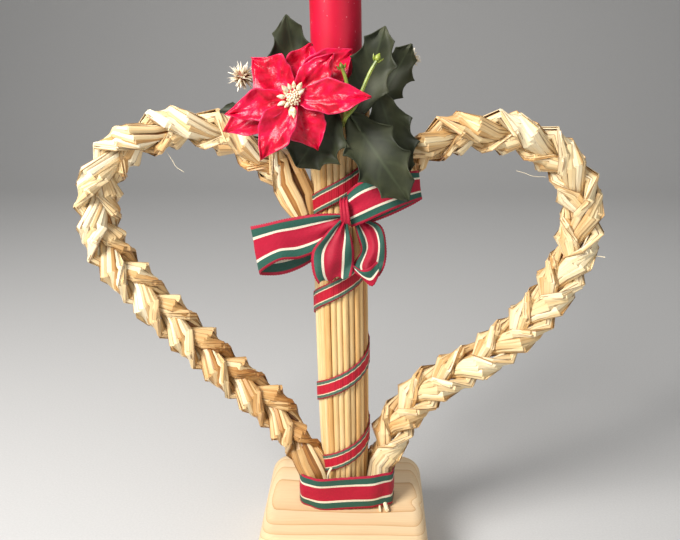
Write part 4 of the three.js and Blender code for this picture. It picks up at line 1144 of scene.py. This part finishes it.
# Papery dried bracts: cream spikes, brown and reddish towards the middle of the head.
tone = add_node(dried_paper, "Attribute", attribute_name="tone").outputs["Fac"]
place = add_node(dried_paper, "TexCoord").outputs["Object"]
speck = add_node(dried_paper, "TexNoise", {"Vector": place, "Scale": 500.0, "Detail": 3.0})
mixed = add_node(dried_paper, "Math", {0: speck, 1: 0.5, 2: tone}, operation="MULTIPLY_ADD")
colour = add_node(
    dried_paper, "ValToRGB", {"Fac": mixed},
    stops=[(0.2, "#7a3f2c"), (0.42, "#b08c64"), (0.65, "#e4d5b4"), (1.0, "#faf4e4")],
)
surface = add_node(dried_paper, "BsdfPrincipled", {"Base Color": colour, "Roughness": 0.7})
add_node(dried_paper, "OutputMaterial", {"Surface": surface})


def dried_head(head, rim, radius, count, seed):
    """Spikes point outwards at even places of a ball, by the golden angle, round a small core."""
    chance = np.random.default_rng(seed)
    head, rim = np.array(head), np.array(rim)
    number = np.arange(count)
    up = 1 - 2 * (number + 0.5) / count
    turn = number * GOLDEN_ANGLE
    flat = np.sqrt(1 - up**2)
    way = np.stack([flat * np.cos(turn), up, flat * np.sin(turn)], -1)
    way = unit(way + chance.normal(0, 0.12, (count, 3)))
    side = unit(np.cross(way, [0.3, 0.2, 0.93]))
    other = 0.5 * np.cross(way, side)
    length = radius * chance.uniform(0.75, 1.12, count)
    around = np.linspace(0, 2 * math.pi, 6)[:-1, None]
    ring = side[:, None, None] * np.cos(around) + other[:, None, None] * np.sin(around)
    reach = (length[:, None] * SPIKE_STATIONS)[..., None, None]
    points = head + way[:, None, None] * reach + ring * SPIKE_THICK[:, None, None] + ON_BLOCK
    spikes = grid_shape(points, closed=True, tone=SPIKE_TONES[:, None])
    behind = head + [0, radius * 0.45, 0] + ON_BLOCK
    core = knob(behind, (0, -1, 0), radius * 0.9, radius * 0.95, 9, 12, tone=0.0)
    return [spikes, core, wire([rim, (head + rim) / 2 + [0, 0, 3], head], 0.5, tone=0.3)]


for side_name, (head, rim, radius, count) in DRIED.items():
    dried = add_piece(f"dried_head_{side_name}", dried_head(head, rim, radius, count, 90), dried_paper)
    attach(dried, "root")
    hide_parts(f"dried_flower_{side_name}")

# Bud sprig: a moulded plastic stem that parts in two, each end with a bud held by two sepals, stuck
# in between the petals and the right leaf.

SPRIG_LONG = [
    (-0.6, -15.4, 191), (0.4, -21.6, 194.8), (4.6, -23.2, 200), (7.2, -23.6, 206), (10.2, -23.4, 213),
    (13, -23, 217.8),
]
SPRIG_SHORT = [(0.4, -21.6, 194.8), (1.2, -22.4, 204), (0.6, -22.6, 210), (-1, -22.4, 214.6)]
STEM_RADII = (1.0, 0.7)
bud_plastic = bare_material("moulded polythene, yellow-green")
# Moulded polythene: soft yellow-green, slightly waxy, darker in places where dust has settled.
place = add_node(bud_plastic, "TexCoord").outputs["Object"]
dust = add_node(bud_plastic, "TexNoise", {"Vector": place, "Scale": 250.0, "Detail": 3.0})
colour = add_node(
    bud_plastic, "ValToRGB", {"Fac": dust},
    stops=[(0.3, "#5f6f24"), (0.55, "#8b9a3a"), (0.75, "#b0ba5a")],
)
surface = add_node(
    bud_plastic, "BsdfPrincipled",
    {"Base Color": colour, "Roughness": 0.42, "IOR": 1.5, "Subsurface Weight": 0.1,
     "Subsurface Scale": 0.001},
)
add_node(bud_plastic, "OutputMaterial", {"Surface": surface})


def bud(tip, way, length):
    """A pod on the stem's end, between two narrow sepals that lean away from it."""
    tip = tip + ON_BLOCK
    way = unit(np.array(way, float))
    side = unit(np.cross(way, [0, 1, 0]))
    shapes = [knob(tip, way, length, length * 0.62, 9, 10)]
    for sign in (-1, 1):
        start = tip + side * sign * 0.8
        shapes.append(knob(start, way + side * sign * 0.55, length * 0.8, 0.9, 7, 6))
    return shapes


sprig_shapes = [wire(places, STEM_RADII) for places in (SPRIG_LONG, SPRIG_SHORT)]
sprig_shapes += bud((12.4, -23, 217), (0.5, 0, 1), 4.0) + bud((-0.9, -22.4, 214), (-0.3, 0, 1), 3.2)
sprig = add_piece("bud_sprig", sprig_shapes, bud_plastic)
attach(sprig, "root")
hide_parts("green_bud_sprig")

# Studio: a pale sheet of card that curves up behind the object, a soft main light from the upper
# left, a weaker one from the right and the photograph's camera.

FLOOR_FRONT, FLOOR_BACK, FLOOR_SIDE, CARD_TOP = -2500.0, 900.0, 2600.0, 3000.0
SWEEP = 500.0
FLOOR_GAP = 0.05


def card_sweep():
    """Flat to the back, then a quarter circle, then upright."""
    turn = np.linspace(0, math.pi / 2, 17)
    profile = [(FLOOR_FRONT, 0.0), (0.0, 0.0), (FLOOR_BACK, 0.0)]
    profile += [(FLOOR_BACK + SWEEP * math.sin(a), SWEEP * (1 - math.cos(a))) for a in turn[1:]]
    profile += [(FLOOR_BACK + SWEEP, CARD_TOP)]
    depth, height = np.array(profile).T[:, :, None]
    across = np.array([-FLOOR_SIDE, 0.0, FLOOR_SIDE])
    return np.stack([across + 0 * depth, depth + 0 * across, height - FLOOR_GAP + 0 * across], -1)[None]


card = bare_material("pale grey card")
# Matt card: one soft pale grey with a slight tooth.
place = add_node(card, "TexCoord").outputs["Object"]
tooth = add_node(card, "TexNoise", {"Vector": place, "Scale": 900.0, "Detail": 2.0})
colour = add_node(card, "ValToRGB", {"Fac": tooth}, stops=[(0.3, "#c3c2c0"), (0.7, "#c9c8c6")])
surface = add_node(card, "BsdfPrincipled", {"Base Color": colour, "Roughness": 0.9})
add_node(card, "OutputMaterial", {"Surface": surface})
floor = add_piece("studio_card", [grid_shape(card_sweep())], card, closed=False)


def soft_light(name, place, target, size, power, colour):
    """A square soft light at place, facing target."""
    data = bpy.data.lights.new(name, "AREA")
    data.size = size
    data.energy = power
    data.color = colour
    light = bpy.data.objects.new(name, data)
    direction = np.array(target) - np.array(place)
    yaw = math.atan2(direction[1], direction[0])
    fall = math.atan2(math.hypot(direction[0], direction[1]), -direction[2])
    light.location = place
    light.rotation_euler = (fall, 0, yaw - math.pi / 2)
    bpy.context.scene.collection.objects.link(light)


soft_light("main light", (-0.42, -0.42, 0.62), (0, 0, 0.2), 0.34, 10.2, (1.0, 0.98, 0.96))
soft_light("side light", (0.7, -0.8, 0.5), (0, 0, 0.22), 0.9, 2.6, (0.97, 0.98, 1.0))
soft_light("top light", (0.1, 0.5, 1.2), (0, 0, 0.25), 0.9, 4, (1.0, 1.0, 1.0))

world = bpy.data.worlds.new("soft room")
world.use_nodes = True
room = world.node_tree.nodes["Background"]
room.inputs["Color"].default_value = (0.9, 0.92, 0.95, 1)
room.inputs["Strength"].default_value = 0.18
bpy.context.scene.world = world
bpy.context.scene.view_settings.view_transform = "Standard"

# Camera: the photograph's focal length and width in pixels, a full-frame sensor, metres and degrees.
PHOTO_FOCAL = 750
PHOTO_WIDTH = 680
SENSOR_WIDTH = 36
CAMERA_PLACE = (0.00906, -0.3339, 0.2646)
CAMERA_FROM_BELOW, CAMERA_TO_LEFT = math.radians(72), math.radians(2)
lens = bpy.data.cameras.new("camera")
lens.sensor_width = SENSOR_WIDTH
lens.lens = SENSOR_WIDTH * PHOTO_FOCAL / PHOTO_WIDTH
lens.clip_start = 0.01
camera = bpy.data.objects.new("camera", lens)
camera.location = CAMERA_PLACE
camera.rotation_euler = (CAMERA_FROM_BELOW, 0, CAMERA_TO_LEFT)
bpy.context.scene.collection.objects.link(camera)
bpy.context.scene.camera = camera
